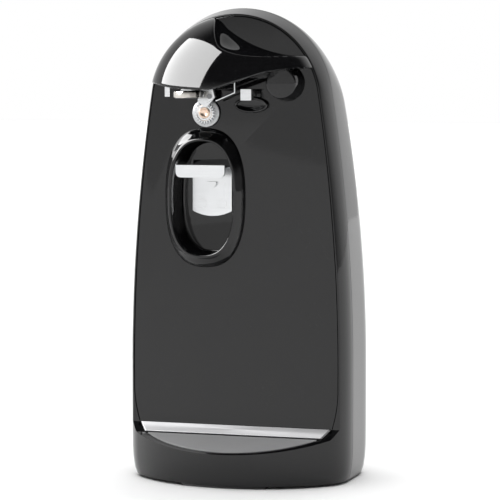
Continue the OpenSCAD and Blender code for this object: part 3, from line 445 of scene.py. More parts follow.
combine(rear_housing, groove, "DIFFERENCE")
finish_piece(rear_housing, "rear_shell", "case", ["rear_housing"])


def node_group(name, inputs, outputs):
    """An empty shader node group with its sockets."""
    group = bpy.data.node_groups.new(name, "ShaderNodeTree")
    for label, kind, default in inputs:
        socket = group.interface.new_socket(name=label, in_out="INPUT", socket_type=kind)
        if default is not None:
            socket.default_value = default
    for label, kind in outputs:
        group.interface.new_socket(name=label, in_out="OUTPUT", socket_type=kind)
    return group, group.nodes.new("NodeGroupInput"), group.nodes.new("NodeGroupOutput")


def math_node(tree, kind, a, b=None, clamp=False):
    node = tree.nodes.new("ShaderNodeMath")
    node.operation, node.use_clamp = kind, clamp
    for k, value in enumerate((a, b)):
        if value is None:
            continue
        if isinstance(value, (int, float)):
            node.inputs[k].default_value = value
        else:
            tree.links.new(value, node.inputs[k])
    return node.outputs[0]


def noise_node(tree, scale, detail, vector, roughness=0.5):
    node = tree.nodes.new("ShaderNodeTexNoise")
    node.inputs["Detail"].default_value = detail
    node.inputs["Roughness"].default_value = roughness
    if isinstance(scale, (int, float)):
        node.inputs["Scale"].default_value = scale
    else:
        tree.links.new(scale, node.inputs["Scale"])
    tree.links.new(vector, node.inputs["Vector"])
    return node.outputs["Fac"]


def ramp(tree, value, low, high):
    node = tree.nodes.new("ShaderNodeMapRange")
    node.inputs["From Min"].default_value = low
    node.inputs["From Max"].default_value = high
    tree.links.new(value, node.inputs["Value"])
    return node.outputs["Result"]


# Wear on edges: a mask where the surface turns sharply within Radius, broken up by grain.
edge_wear, wear_in, wear_out = node_group("edge_wear",
    [("Radius", "NodeSocketFloat", 0.0004), ("Breakup", "NodeSocketFloat", 900.0)],
    [("Mask", "NodeSocketFloat")])
wear_bevel = edge_wear.nodes.new("ShaderNodeBevel")
wear_bevel.samples = 4
edge_wear.links.new(wear_in.outputs["Radius"], wear_bevel.inputs["Radius"])
wear_geometry = edge_wear.nodes.new("ShaderNodeNewGeometry")
wear_dot = edge_wear.nodes.new("ShaderNodeVectorMath")
wear_dot.operation = "DOT_PRODUCT"
edge_wear.links.new(wear_bevel.outputs["Normal"], wear_dot.inputs[0])
edge_wear.links.new(wear_geometry.outputs["Normal"], wear_dot.inputs[1])
wear_coords = edge_wear.nodes.new("ShaderNodeTexCoord")
wear_grain = noise_node(edge_wear, wear_in.outputs["Breakup"], 3, wear_coords.outputs["Object"])
wear_turn = ramp(edge_wear, wear_dot.outputs["Value"], 0.995, 0.9)
wear_mask = math_node(edge_wear, "MULTIPLY", wear_turn, ramp(edge_wear, wear_grain, 0.42, 0.62), True)
edge_wear.links.new(wear_mask, wear_out.inputs["Mask"])

# Handling: broad smears, small specks of dust and hairline scratches, each as a mask.
handling, hand_in, hand_out = node_group("handling",
    [("Smear Scale", "NodeSocketFloat", 22.0), ("Speck Scale", "NodeSocketFloat", 420.0)],
    [("Smear", "NodeSocketFloat"), ("Specks", "NodeSocketFloat"), ("Scratches", "NodeSocketFloat")])
hand_coords = handling.nodes.new("ShaderNodeTexCoord")
hand_smear = noise_node(handling, hand_in.outputs["Smear Scale"], 5, hand_coords.outputs["Object"], 0.6)
handling.links.new(hand_smear, hand_out.inputs["Smear"])
hand_cells = handling.nodes.new("ShaderNodeTexVoronoi")
handling.links.new(hand_in.outputs["Speck Scale"], hand_cells.inputs["Scale"])
handling.links.new(hand_coords.outputs["Object"], hand_cells.inputs["Vector"])
handling.links.new(ramp(handling, hand_cells.outputs["Distance"], 0.085, 0.05), hand_out.inputs["Specks"])
hand_stretch = handling.nodes.new("ShaderNodeMapping")
hand_stretch.inputs["Rotation"].default_value = (0.3, 0.5, 0.9)
hand_stretch.inputs["Scale"].default_value = (900, 60, 40)
handling.links.new(hand_coords.outputs["Object"], hand_stretch.inputs["Vector"])
hand_lines = noise_node(handling, 1.0, 2, hand_stretch.outputs["Vector"])
handling.links.new(ramp(handling, hand_lines, 0.70, 0.76), hand_out.inputs["Scratches"])


def place_group(tree, group, **values):
    node = tree.nodes.new("ShaderNodeGroup")
    node.node_tree = group
    for label, value in values.items():
        node.inputs[label.replace("_", " ")].default_value = value
    return node


def new_material(name, metallic=0.0):
    material = bpy.data.materials.new(name)
    material.use_nodes = True
    shader = material.node_tree.nodes["Principled BSDF"]
    shader.inputs["Metallic"].default_value = metallic
    return material, material.node_tree, shader


def mix_colour(tree, factor, a, b):
    node = tree.nodes.new("ShaderNodeMix")
    node.data_type = "RGBA"
    tree.links.new(factor, node.inputs["Factor"])
    for socket, value in ((node.inputs["A"], a), (node.inputs["B"], b)):
        if isinstance(value, tuple):
            socket.default_value = (*value, 1)
        else:
            tree.links.new(value, socket)
    return node.outputs["Result"]


def bump_into(tree, shader, height, strength, distance):
    node = tree.nodes.new("ShaderNodeBump")
    node.inputs["Strength"].default_value = strength
    node.inputs["Distance"].default_value = distance
    tree.links.new(height, node.inputs["Height"])
    tree.links.new(node.outputs["Normal"], shader.inputs["Normal"])


def add_share(tree, base, mask, amount, clamp=False):
    """Adds a share of a mask to a value or a plain number."""
    return math_node(tree, "ADD", math_node(tree, "MULTIPLY", mask, amount), base, clamp)


def moulded_plastic(name, dark, pale, roughness, spread_by, texture, wear_colour):
    """Moulded plastic: colour drifts a little, gloss is broken by smears and specks, and a very
    fine texture from the mould lies over it all."""
    material, tree, shader = new_material(name)
    marks = place_group(tree, handling)
    worn = place_group(tree, edge_wear, Radius=0.0005, Breakup=700.0)
    base = mix_colour(tree, marks.outputs["Smear"], dark, pale)
    dust = math_node(tree, "MULTIPLY", marks.outputs["Specks"], 0.10)
    dusted = mix_colour(tree, dust, base, (0.35, 0.35, 0.34))
    rubbed = math_node(tree, "MULTIPLY", worn.outputs["Mask"], 0.35)
    tree.links.new(mix_colour(tree, rubbed, dusted, wear_colour), shader.inputs["Base Color"])
    gloss = add_share(tree, roughness - spread_by / 2, marks.outputs["Smear"], spread_by)
    gloss = add_share(tree, gloss, marks.outputs["Specks"], 0.12)
    gloss = add_share(tree, gloss, marks.outputs["Scratches"], 0.05, True)
    tree.links.new(gloss, shader.inputs["Roughness"])
    coords = tree.nodes.new("ShaderNodeTexCoord")
    grain = noise_node(tree, texture[0], 3, coords.outputs["Object"])
    bump_into(tree, shader, grain, texture[1], 0.00002)
    return material


gloss_black = moulded_plastic("gloss_black", (0.0022, 0.0022, 0.0026), (0.0045, 0.0045, 0.005),
                              0.045, 0.04, (260, 0.04), (0.05, 0.05, 0.052))
gloss_black.node_tree.nodes["Principled BSDF"].inputs["Specular IOR Level"].default_value = 0.46
paint(rear_housing, gloss_black)

# --- Front housing ------------------------------------------------------------------------
# The front band of the case with the base under the shelf, one gloss black moulding. Its rim
# rolls over round the panel, which drops into it with a hairline gap.
ARCH_HALF = plan_side(0, Y_PANEL)[0][0]
PANEL_HALF, PANEL_TOP = ARCH_HALF - 0.8, crown_at(Y_PANEL, 0) - 0.8
CORNER_IN, CORNER_RISE = 3.4, 22
PANEL_GAP = 0.12
SHELF_HALF = PANEL_HALF - CORNER_IN
shelf_front = Y_FRONT + 1.5
shelf_sag = Y_PANEL - shelf_front
shelf_r = (SHELF_HALF ** 2 + shelf_sag ** 2) / (2 * shelf_sag)


def panel_outline(g, low):
    """Outline of the panel grown by g: straight up from its foot, in at the corners, and over
    in an arch."""
    half = [(SHELF_HALF + g, low)]
    half += [(PANEL_HALF + g - CORNER_IN * (1 - i / 12) ** 2, STRIP_Z + CORNER_RISE * i / 12)
             for i in range(12)]
    half += arch_points(PANEL_HALF + g, PANEL_TOP + g, STRIP_Z + CORNER_RISE)[3:]
    half = [p for k, p in enumerate(half)
            if k == 0 or p[1] > half[k - 1][1] + 0.01 or p[0] < half[k - 1][0] - 0.01]
    return half + [(-x, z) for x, z in reversed(half[:-1])]


def shelf_disc(name, g, back, z1):
    """Upright round form whose front edge is the shelf's, grown by g and set back by back."""
    turn = [2 * math.pi * i / 240 for i in range(240)]
    return loop_prism(name, [[((shelf_r + g) * math.sin(a),
                               shelf_front + back + shelf_r - (shelf_r + g) * math.cos(a), z)
                              for a in turn] for z in (0, z1)])


def shelf_block(g, z1):
    """Upright form over the shelf with its curved front edge."""
    disc = shelf_disc("shelf", g, 0, z1)
    return combine(disc, slab("front", (-SHELF_HALF - g, Y_FRONT - 5, -1),
                              (SHELF_HALF + g, Y_PANEL + PANEL_T, z1 + 1)), "INTERSECT")


front_housing = case_bullet(0, BODY_Z, ROLL)
combine(front_housing, slab("front_half", (-FAR, -FAR, -FAR), (FAR, Y_JOINT - 0.05, FAR)), "INTERSECT")
combine(front_housing, cavity(), "DIFFERENCE")
combine(front_housing, scoop(0), "DIFFERENCE")
panel_seat = upright("panel_seat", panel_outline(PANEL_GAP, STRIP_Z - 2),
                     Y_PANEL - 60, Y_PANEL + PANEL_T + 0.1)
combine(front_housing, panel_seat, "DIFFERENCE")
shelf_seat = shelf_block(PANEL_GAP, STRIP_Z + 20)
combine(shelf_seat, scoop(PANEL_T + 0.1), "INTERSECT")
combine(front_housing, shelf_seat, "DIFFERENCE")
combine(front_housing, plan_prism(11.8, -1, BODY_Z + 2.6), "DIFFERENCE")
finish_piece(front_housing, "front_band", "case", ["front_housing"])
paint(front_housing, gloss_black)

# --- Front panel --------------------------------------------------------------------------
# A flat gloss black moulding with a softened edge, carrying the wheel, the lever's bearing and
# the opener. Its foot slopes forward as a strip and runs out as the shelf that a can stands on.
OPENER_AT = (-17.5, 161.0)
feed_lo, feed_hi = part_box("feed_disc")
FEED_AT = ((feed_lo.x + feed_hi.x) / 2 / MM, (feed_lo.z + feed_hi.z) / 2 / MM)
PIVOT_AT = (30.5, 226.0)
OVAL_POWER = 0.8


def oval(w, h, n=160):
    pts = []
    for i in range(n):
        c, s = math.cos(2 * math.pi * i / n), math.sin(2 * math.pi * i / n)
        pts.append((OPENER_AT[0] + w / 2 * math.copysign(abs(c) ** OVAL_POWER, c),
                    OPENER_AT[1] + h / 2 * math.copysign(abs(s) ** OVAL_POWER, s)))
    return pts


def rolled_edge(outline, y_face, y_back, r, steps=5):
    """Loops from the face back, with the face's edge rounded to radius r."""
    loops = [[(x, y_face + r * (1 - math.cos(t)), z) for x, z in outline(-r * (1 - math.sin(t)))]
             for t in spread(0, math.pi / 2, steps)]
    return loops + [[(x, y_back, z) for x, z in outline(0)]]


PANEL_EDGE_R = 0.7
front_panel = loop_prism("panel", rolled_edge(lambda g: panel_outline(g - PANEL_GAP, STRIP_Z - 1),
                                              Y_PANEL, Y_PANEL + PANEL_T, PANEL_EDGE_R))
shelf = shelf_block(-PANEL_GAP, STRIP_Z + 20)
combine(shelf, scoop(PANEL_T), "INTERSECT")
combine(shelf, scoop(0), "DIFFERENCE")
combine(front_panel, shelf, "UNION")
combine(front_panel, upright("cup_hole", oval(41.1, 68.1), Y_PANEL - 2, Y_PANEL + 6), "DIFFERENCE")
GUIDE_AT = (FEED_AT[0] + 26.8, FEED_AT[1] + 10.3)
for name, at, r in (("feed_hole", FEED_AT, 5.05), ("pivot_hole", PIVOT_AT, 6.05),
                    ("guide_hole", GUIDE_AT, 2.75)):
    combine(front_panel, rod(name, at, [(r, Y_PANEL - 2), (r, Y_PANEL + 6)]), "DIFFERENCE")
PANEL_BOSSES = [(-46, 173), (46, 161), (-21.5, 243), (33, 239)]
for x, z in PANEL_BOSSES:
    boss = rod("boss", (x, z), [(3.6, Y_PANEL + PANEL_T - 0.5), (3.6, -8.5)], 40)
    combine(boss, rod("pilot", (x, z), [(1.3, Y_PANEL + PANEL_T + 1), (1.3, -7)], 32), "DIFFERENCE")
    combine(front_panel, boss, "UNION")
finish_piece(front_panel, "panel", "case", ["front_panel"], 25)
paint(front_panel, gloss_black)

# --- Trim strip and shelf pad -------------------------------------------------------------
# A strip is stuck to the slope between panel and shelf, and a thin pad lies in front of it on
# the shelf. Their silver and grey colours are painted reflection: they stand in for the light
# that the gloss black slope and shelf catch from above.
STUCK_T, TRIM_IN = 0.6, 0.4
PAD_GAP, PAD_HALF = 1.2, 50


def soften_edges(piece, width):
    soft = piece.modifiers.new("soft_edges", "BEVEL")
    soft.width, soft.segments, soft.limit_method = width * MM, 3, "ANGLE"


trim = along_x("trim", [(Y_PANEL - 0.3, STRIP_Z - 0.3), (strip_foot_y + 0.3, strip_foot_z + 0.3),
                        (strip_foot_y + 0.3 - STUCK_T, strip_foot_z + 0.3 + STUCK_T),
                        (Y_PANEL - 0.3 - STUCK_T, STRIP_Z - 0.3 + STUCK_T)],
               -SHELF_HALF + TRIM_IN, SHELF_HALF - TRIM_IN)
combine(trim, shelf_block(-TRIM_IN, STRIP_Z + 20), "INTERSECT")
soften_edges(trim, 0.18)
finish_piece(trim, "painted_reflection_trim", "case", ["trim_strip"])

pad_back_y = strip_foot_y - PAD_GAP
pad_back_z = strip_foot_z - shelf_slope * PAD_GAP
pad_front_y = Y_FRONT - 5
pad_front_z = pad_back_z - shelf_slope * (pad_back_y - pad_front_y)
pad = along_x("pad", [(pad_front_y, pad_front_z), (pad_back_y, pad_back_z),
                      (pad_back_y, pad_back_z + STUCK_T), (pad_front_y, pad_front_z + STUCK_T)],
              -PAD_HALF, PAD_HALF)
combine(pad, shelf_disc("pad_disc", 0, PAD_GAP, 60), "INTERSECT")
soften_edges(pad, 0.2)
finish_piece(pad, "painted_reflection_pad", "case", ["shelf_pad"])


def brushed_metal(name, dark, pale, roughness, grain_scale, wear_colour, strength=0.12, anisotropic=0.3):
    """Bright metal with a directional grain, cloudy finish and paler worn edges."""
    material, tree, shader = new_material(name, 1.0)
    shader.inputs["Anisotropic"].default_value = anisotropic
    marks = place_group(tree, handling, Smear_Scale=60.0, Speck_Scale=600.0)
    worn = place_group(tree, edge_wear, Radius=0.00025, Breakup=1500.0)
    coords = tree.nodes.new("ShaderNodeTexCoord")
    stretch = tree.nodes.new("ShaderNodeMapping")
    stretch.inputs["Scale"].default_value = grain_scale
    tree.links.new(coords.outputs["Object"], stretch.inputs["Vector"])
    grain = noise_node(tree, 1.0, 4, stretch.outputs["Vector"], 0.6)
    toned = mix_colour(tree, grain, dark, pale)
    tree.links.new(mix_colour(tree, worn.outputs["Mask"], toned, wear_colour), shader.inputs["Base Color"])
    rough = add_share(tree, roughness - 0.07, marks.outputs["Smear"], 0.14)
    rough = add_share(tree, rough, marks.outputs["Scratches"], 0.12, True)
    tree.links.new(rough, shader.inputs["Roughness"])
    height = math_node(tree, "SUBTRACT", grain, marks.outputs["Scratches"])
    bump_into(tree, shader, height, strength, 0.00002)
    return material


# This satin silver is painted reflection of the light from above on the sloped strip.
trim_silver = brushed_metal("trim_silver", (0.28, 0.28, 0.285), (0.36, 0.36, 0.365),
                            0.5, (40, 900, 900), (0.7, 0.7, 0.7))
paint(trim, trim_silver)
# This grey is painted reflection of the light from above on the shelf.
shelf_grey = moulded_plastic("shelf_grey", (0.25, 0.25, 0.255), (0.34, 0.34, 0.345),
                             0.42, 0.12, (1400, 0.25), (0.3, 0.3, 0.3))
paint(pad, shelf_grey)

# --- Bottle opener ------------------------------------------------------------------------
# An oval gloss black collar stands round a deep cup. In the cup a pressed steel plate is held
# by two screws, and its turned-down lip catches the edge of a crown cap.
collar = loop_prism("collar", [[(x, Y_PANEL + y, z) for x, z in oval(w, h)] for w, h, y in [
    (47.5, 78.8, -0.15), (47.5, 78.8, -0.5), (47.3, 78.6, -1.0), (46.6, 77.9, -2.0), (46.0, 77.3, -2.6),
    (43.6, 72.6, -4.2), (42.0, 69.4, -5.2), (41.3, 68.3, -5.7), (40.6, 67.6, -6.05), (39.9, 66.9, -6.3),
    (39.2, 66.2, -6.45), (38.6, 65.6, -6.5), (38.0, 65.0, -6.42), (37.4, 64.4, -6.2), (37.0, 64.0, -5.8),
    (36.8, 63.8, -5.2)]])
combine(collar, upright("collar_hole", oval(36.8, 63.8), -60, 0), "DIFFERENCE")
finish_piece(collar, "oval_collar", "case", ["opener_collar"], 40)
paint(collar, gloss_black)

cup_back = Y_PANEL + 14
cup = upright("cup", oval(40.8, 67.8), Y_PANEL, cup_back + 2)
cup_room = loop_prism("cup_room", [[(x, cup_back + y, z) for x, z in oval(w, h)] for w, h, y in [
    (36.8, 63.8, -28), (36.8, 63.8, -1.6), (36.3, 63.3, -0.7), (35.2, 62.2, -0.1), (34.0, 61.0, 0)]])
combine(cup, cup_room, "DIFFERENCE")
for x in (OPENER_AT[0] - 6, OPENER_AT[0] + 6):
    pilot = rod("pilot", (x, OPENER_AT[1] - 4), [(1.3, cup_back - 1), (1.3, cup_back + 5)], 32)
    combine(cup, pilot, "DIFFERENCE")
finish_piece(cup, "opener_cup", "case", ["recess_cup"], 40)
paint(cup, gloss_black)

bright_steel = brushed_metal("bright_steel", (0.62, 0.63, 0.64), (0.74, 0.75, 0.76),
                             0.22, (60, 700, 900), (0.88, 0.88, 0.88))
dark_steel = brushed_metal("dark_steel", (0.20, 0.205, 0.215), (0.33, 0.335, 0.345),
                           0.34, (500, 500, 500), (0.6, 0.6, 0.6))


def keep_node(name, material, width=0.12, angle=35):
    """A pressed, turned or moulded piece that keeps its shape and gets small worked edges."""
    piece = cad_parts[name]
    paint(piece, material)
    weld = piece.modifiers.new("weld", "WELD")
    weld.merge_threshold = 0.002 * MM
    soft = piece.modifiers.new("worked_edges", "BEVEL")
    soft.width, soft.segments, soft.limit_method = width * MM, 2, "ANGLE"
    soft.angle_limit = math.radians(angle)
    soft.harden_normals = True
    soft.use_clamp_overlap = True
    return piece


# A darker copy of the bright steel: painted shade for the disc behind the wheel's teeth.
disc_steel_painted_shade = brushed_metal("disc_steel_painted_shade", (0.34, 0.345, 0.35), (0.50, 0.505, 0.51),
                           0.38, (60, 700, 900), (0.8, 0.8, 0.8))
keep_node("bottle_opener", bright_steel, 0.3)
keep_node("opener_screws", bright_steel, 0.04)

# --- Cutting lever ------------------------------------------------------------------------
# One gloss black moulding like a quarter of a ball, hollow behind, with a broad scoop out of
# its right-hand top where the thumb presses. A stub at its right end turns in the case.
BALL_R = 0.81 * ARCH_HALF
BALL_Z = CASE_H - 4.2 - BALL_R
NOSE = 29.0
thumb_key = [(-26.0, 342.0), (-20.0, 305.0), (-16.0, 284.0), (-12.5, 270.5), (-9.8, 261.8),
             (-7.8, 255.8), (-5.6, 250.8), (-2.9, 246.6), (0.8, 244.2), (5.0, 242.7), (9.0, 241.7),
             (13.2, 241.1), (19.0, 240.6), (25.3, 240.4), (33.0, 240.4), (42.0, 240.5)]
thumb_front = []


def smooth_step(h0, h1, s0, s1, u):
    """A smooth curve from h0 to h1 that leaves with slope s0 and arrives with slope s1."""
    return (h0 * (2 * u ** 3 - 3 * u ** 2 + 1) + s0 * (u ** 3 - 2 * u ** 2 + u)
            + h1 * (3 * u ** 2 - 2 * u ** 3) + s1 * (u ** 3 - u ** 2))


for k in range(len(thumb_key) - 1):
    (x0, h0), (x1, h1) = thumb_key[k], thumb_key[k + 1]
    b0, b1 = thumb_key[max(0, k - 1)], thumb_key[min(len(thumb_key) - 1, k + 2)]
    m0, m1 = (h1 - b0[1]) / (x1 - b0[0]), (b1[1] - h0) / (b1[0] - x0)
    for i in range(6):
        u, w = i / 6, x1 - x0
        thumb_front.append((x0 + w * u, smooth_step(h0, h1, m0 * w, m1 * w, u)))
thumb_front.append(thumb_key[-1])
LEVER_BACK = Y_PANEL - 0.5
LEVER_MID = (-8.0, LEVER_BACK, 237.0)
under_line = [(-70, 2.0), (-46, -0.4), (-30, -3.0), (-14, -3.9), (-4, -3.6), (6, -0.6), (16, 2.8),
              (27, 6.2), (46, 8.4), (70, 9.0)]


def under_at(x):
    """Height of the lever's underside at x."""
    x = max(-69.9, min(69.9, x))
    for (x0, h0), (x1, h1) in zip(under_line, under_line[1:]):
        if x0 <= x <= x1:
            k = under_line.index((x0, h0))
            before = under_line[max(0, k - 1)]
            after = under_line[min(len(under_line) - 1, k + 2)]
            m0 = (h1 - before[1]) / (x1 - before[0])
            m1 = (after[1] - h0) / (after[0] - x0)
            d = x1 - x0
            u = (x - x0) / d
            return PIVOT_AT[1] + smooth_step(h0, h1, m0 * d, m1 * d, u)
    return PIVOT_AT[1]


def thumb_floor(x, y):
    """Height of the scoop's floor: a broad arc at the panel that tightens into a corner in front."""
    arc = CASE_H + 45 - math.sqrt(max(0.0, 72 ** 2 - min(72.0, max(0.0, 40 - x)) ** 2))
    front = 400.0
    for (x0, h0), (x1, h1) in zip(thumb_front, thumb_front[1:]):
        if x0 <= x < x1:
            front = h0 + (h1 - h0) * (x - x0) / (x1 - x0)
    if x >= thumb_front[-1][0]:
        front = thumb_front[-1][1]
    share = min(1.0, max(0.0, (LEVER_BACK - y) / 21))
    share = share * share * (3 - 2 * share)
    return arc + (min(front, arc + 40) - arc) * share


def thumb_depth(x, y, z):
    """How far a point is inside the scoop, roughly at right angles to its surface."""
    rise = thumb_floor(x, y)
    lean = (thumb_floor(x + 0.25, y) - thumb_floor(x - 0.25, y)) / 0.5
    return (z - rise) / math.hypot(1.0, lean)


def lever_reach(d, g, drop, soft):
    """How far the lever's surface lies from its middle in direction d."""
    cx, cy, cz = LEVER_MID
    ox, oy, oz = cx / (BALL_R - g), (cy - Y_PANEL) / (NOSE - g), (cz - BALL_Z) / (BALL_R - g)
    ax, ay, az = d[0] / (BALL_R - g), d[1] / (NOSE - g), d[2] / (BALL_R - g)
    a, b, c = ax * ax + ay * ay + az * az, 2 * (ox * ax + oy * ay + oz * az), ox * ox + oy * oy + oz * oz - 1
    hits = [(-b + math.sqrt(max(0.0, b * b - 4 * a * c))) / (2 * a)]
    if d[2] > -0.6 and d[0] > -0.5:
        far_off = hits[0]
        if thumb_depth(cx + far_off * d[0], cy + far_off * d[1], cz + far_off * d[2]) > -g:
            lo, hi = 0.0, far_off
            for _ in range(26):
                mid = (lo + hi) / 2
                if thumb_depth(cx + mid * d[0], cy + mid * d[1], cz + mid * d[2]) > -g:
                    hi = mid
                else:
                    lo = mid
            hits.append(lo)
        else:
            past = thumb_depth(cx + far_off * d[0], cy + far_off * d[1], cz + far_off * d[2]) + g
            hits.append(far_off - past / max(0.25, abs(d[0]) + abs(d[2])))
    if d[2] < -1e-4 or d[0] > 0.5:
        lo, hi = 0.0, 120.0
        if cz + hi * d[2] < under_at(cx + hi * d[0]) - drop:
            for _ in range(30):
                mid = (lo + hi) / 2
                if cz + mid * d[2] < under_at(cx + mid * d[0]) - drop:
                    hi = mid
                else:
                    lo = mid
            hits.append(lo)
    near = min(hits)
    return near - soft * math.log(sum(math.exp(-(h - near) / soft) for h in hits if h - near < 20))


def lever_form(g, drop, soft, turns, rows):
    """Closed form of the lever's outside, or of the hollow in it."""
    verts, faces = [], []
    for j in range(rows + 1):
        t = math.pi / 2 * j / rows
        for i in range(turns):
            u = 2 * math.pi * i / turns
            a = u - 0.55 * math.sin(u)
            d = (math.cos(a) * math.cos(t), -math.sin(t), math.sin(a) * math.cos(t))
            s = lever_reach(d, g, drop, soft)
            verts.append(tuple(LEVER_MID[k] + s * d[k] for k in range(3)))
    for j in range(rows):
        for i in range(turns):
            k = (i + 1) % turns
            faces.append((j * turns + i, j * turns + k, (j + 1) * turns + k, (j + 1) * turns + i))
    faces.append(tuple(range(turns)))
    return put_mesh("lever", verts, faces)


lever = lever_form(0.0, 0.0, 0.45, 420, 110)
hollow = lever_form(2.6, 12.0, 0.45, 160, 40)
combine(hollow, slab("hollow_back", (-FAR, -FAR, 0), (15.5, LEVER_BACK - 2.6, FAR)), "INTERSECT")
combine(lever, hollow, "DIFFERENCE")
stub = rod("stub", PIVOT_AT, [(10.4, LEVER_BACK), (8.75, LEVER_BACK - 11.0), (8.55, LEVER_BACK - 11.5),
                              (8.15, LEVER_BACK - 11.85), (7.6, LEVER_BACK - 12.0)], 96)
combine(lever, stub, "UNION")
combine(lever, rod("bore", PIVOT_AT, [(4.02, LEVER_BACK - 9.5), (4.02, 0)]), "DIFFERENCE")
finish_piece(lever, "lifting_lever", "lever", ["cutting_lever"], 38)
paint(lever, gloss_black)
bronze = brushed_metal("bronze", (0.42, 0.24, 0.10), (0.58, 0.36, 0.17),
                       0.34, (500, 500, 500), (0.75, 0.55, 0.3))
natural_nylon = moulded_plastic("natural_nylon", (0.72, 0.69, 0.60), (0.80, 0.78, 0.70),
                                0.42, 0.1, (900, 0.15), (0.9, 0.88, 0.84))
keep_node("lever_shaft", dark_steel, 0.2)
keep_node("lever_bushing", bronze)
keep_node("lever_cam", natural_nylon, 0.3)
keep_node("lever_clip", dark_steel, 0.08)

# --- Cutter -------------------------------------------------------------------------------
# A bright pressed bracket comes down inside the lever and carries a ground cutting plate on
# two rivets. A spring wire runs from it to the underside of the lever.
for name in ("cutter_bracket", "cutting_blade", "blade_wire", "magnet_bracket"):
    keep_node(name, bright_steel, 0.12)
keep_node("cutter_rivets", dark_steel, 0.15)

# --- Magnet -------------------------------------------------------------------------------
# A nickel plated cup holds a round magnet that lifts the lid. It hangs from a pin by an eye, so
# that it can tilt a little to lie flat on the lid.
nickel = brushed_metal("nickel", (0.58, 0.55, 0.51), (0.74, 0.71, 0.67),
                       0.16, (300, 300, 40), (0.9, 0.88, 0.85), 0.05, 0.0)
ferrite = moulded_plastic("ferrite", (0.035, 0.035, 0.037), (0.06, 0.06, 0.062),
                          0.5, 0.1, (1200, 0.3), (0.15, 0.15, 0.15))
cup_lo, cup_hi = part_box("magnet_cup")
cup_x, cup_y = (cup_lo.x + cup_hi.x) / 2 / MM, (cup_lo.y + cup_hi.y) / 2 / MM
cup_z0, cup_z1, cup_r = cup_lo.z / MM, cup_hi.z / MM, (cup_hi.x - cup_lo.x) / 2 / MM
profile = [(cup_r - 0.8, cup_z0), (cup_r - 0.25, cup_z0), (cup_r, cup_z0 + 0.25),
           (cup_r, cup_z1 - 0.9), (cup_r - 0.12, cup_z1 - 0.45), (cup_r - 0.45, cup_z1 - 0.12),
           (cup_r - 0.9, cup_z1), (0.01, cup_z1), (0.01, cup_z1 - 0.75), (cup_r - 0.8, cup_z1 - 0.75)]
CUP_TURNS = 128
cup_angles = [2 * math.pi * i / CUP_TURNS for i in range(CUP_TURNS)]
verts = [(cup_x + r * math.cos(a), cup_y + r * math.sin(a), z) for r, z in profile for a in cup_angles]
faces = []
for k in range(len(profile)):
    low, high = k * CUP_TURNS, ((k + 1) % len(profile)) * CUP_TURNS
    for i in range(CUP_TURNS):
        after = (i + 1) % CUP_TURNS
        faces.append((low + i, low + after, high + after, high + i))
magnet_cup = put_mesh("cup", verts, faces)
finish_piece(magnet_cup, "nickel_cup", "magnet_unit", ["magnet_cup"], 35)
paint(magnet_cup, nickel)
keep_node("magnet", ferrite, 0.2)
keep_node("magnet_arm", bright_steel, 0.15)
keep_node("magnet_pin", dark_steel, 0.1)

# --- Feed wheel ---------------------------------------------------------------------------
# A hardened toothed wheel in front of a plain turned disc, both pressed on the copper-flashed
# end of the shaft, which has a shallow dish turned in it. The disc gets a darker steel than the
# wheel: painted shade that keeps it dark behind the teeth.
TOOTH_COUNT, TOOTH_DEPTH, BORE_R = 22, 1.5, 3.22
wheel_lo, wheel_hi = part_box("feed_wheel")
wheel_y0, wheel_y1, wheel_r = wheel_lo.y / MM, wheel_hi.y / MM, (wheel_hi.x - wheel_lo.x) / 2 / MM


def star(inset, depth):
    """Outline of the toothed wheel, moved in by inset, with its teeth cut to a share of depth."""
    pts = []
    for i in range(TOOTH_COUNT):
        for share, r in ((-0.36, 0.0), (-0.05, 1.0), (0.05, 1.0), (0.36, 0.0)):
            a = 2 * math.pi * (i + 0.5 + share) / TOOTH_COUNT
            q = wheel_r - TOOTH_DEPTH * depth + TOOTH_DEPTH * depth * r - inset
            pts.append((FEED_AT[0] + q * math.cos(a), FEED_AT[1] + q * math.sin(a)))
    return pts


wheel = loop_prism("wheel", [[(x, y, z) for x, z in star(inset, depth)] for y, inset, depth in [
    (wheel_y0, 0.5, 0.9), (wheel_y0 + 0.45, 0.03, 1.0), (wheel_y1 - 0.35, 0.03, 1.0),
    (wheel_y1, 0.4, 0.9)]])
wheel_dish = rod("dish", FEED_AT, [(wheel_r - 2.0, wheel_y0 - 1), (wheel_r - 2.0, wheel_y0 + 0.05),
                                   (wheel_r - 2.4, wheel_y0 + 0.3)], 64)
combine(wheel, wheel_dish, "DIFFERENCE")
combine(wheel, rod("bore", FEED_AT, [(BORE_R, wheel_y0 - 1), (BORE_R, wheel_y1 + 1)]), "DIFFERENCE")
finish_piece(wheel, "toothed_wheel", "feed_unit", ["feed_wheel"], 25)
paint(wheel, bright_steel)

disc_y0, disc_y1, disc_r = feed_lo.y / MM, feed_hi.y / MM, (feed_hi.x - feed_lo.x) / 2 / MM
disc = rod("disc", FEED_AT, [(disc_r - 0.5, disc_y0), (disc_r - 0.15, disc_y0 + 0.12),
                             (disc_r, disc_y0 + 0.45), (disc_r, disc_y1 - 0.4),
                             (disc_r - 0.12, disc_y1 - 0.1), (disc_r - 0.4, disc_y1)], 128)
combine(disc, rod("bore", FEED_AT, [(BORE_R, disc_y0 - 1), (BORE_R, disc_y1 + 1)]), "DIFFERENCE")
finish_piece(disc, "plain_disc", "feed_unit", ["feed_disc"], 30)
paint(disc, disc_steel_painted_shade)

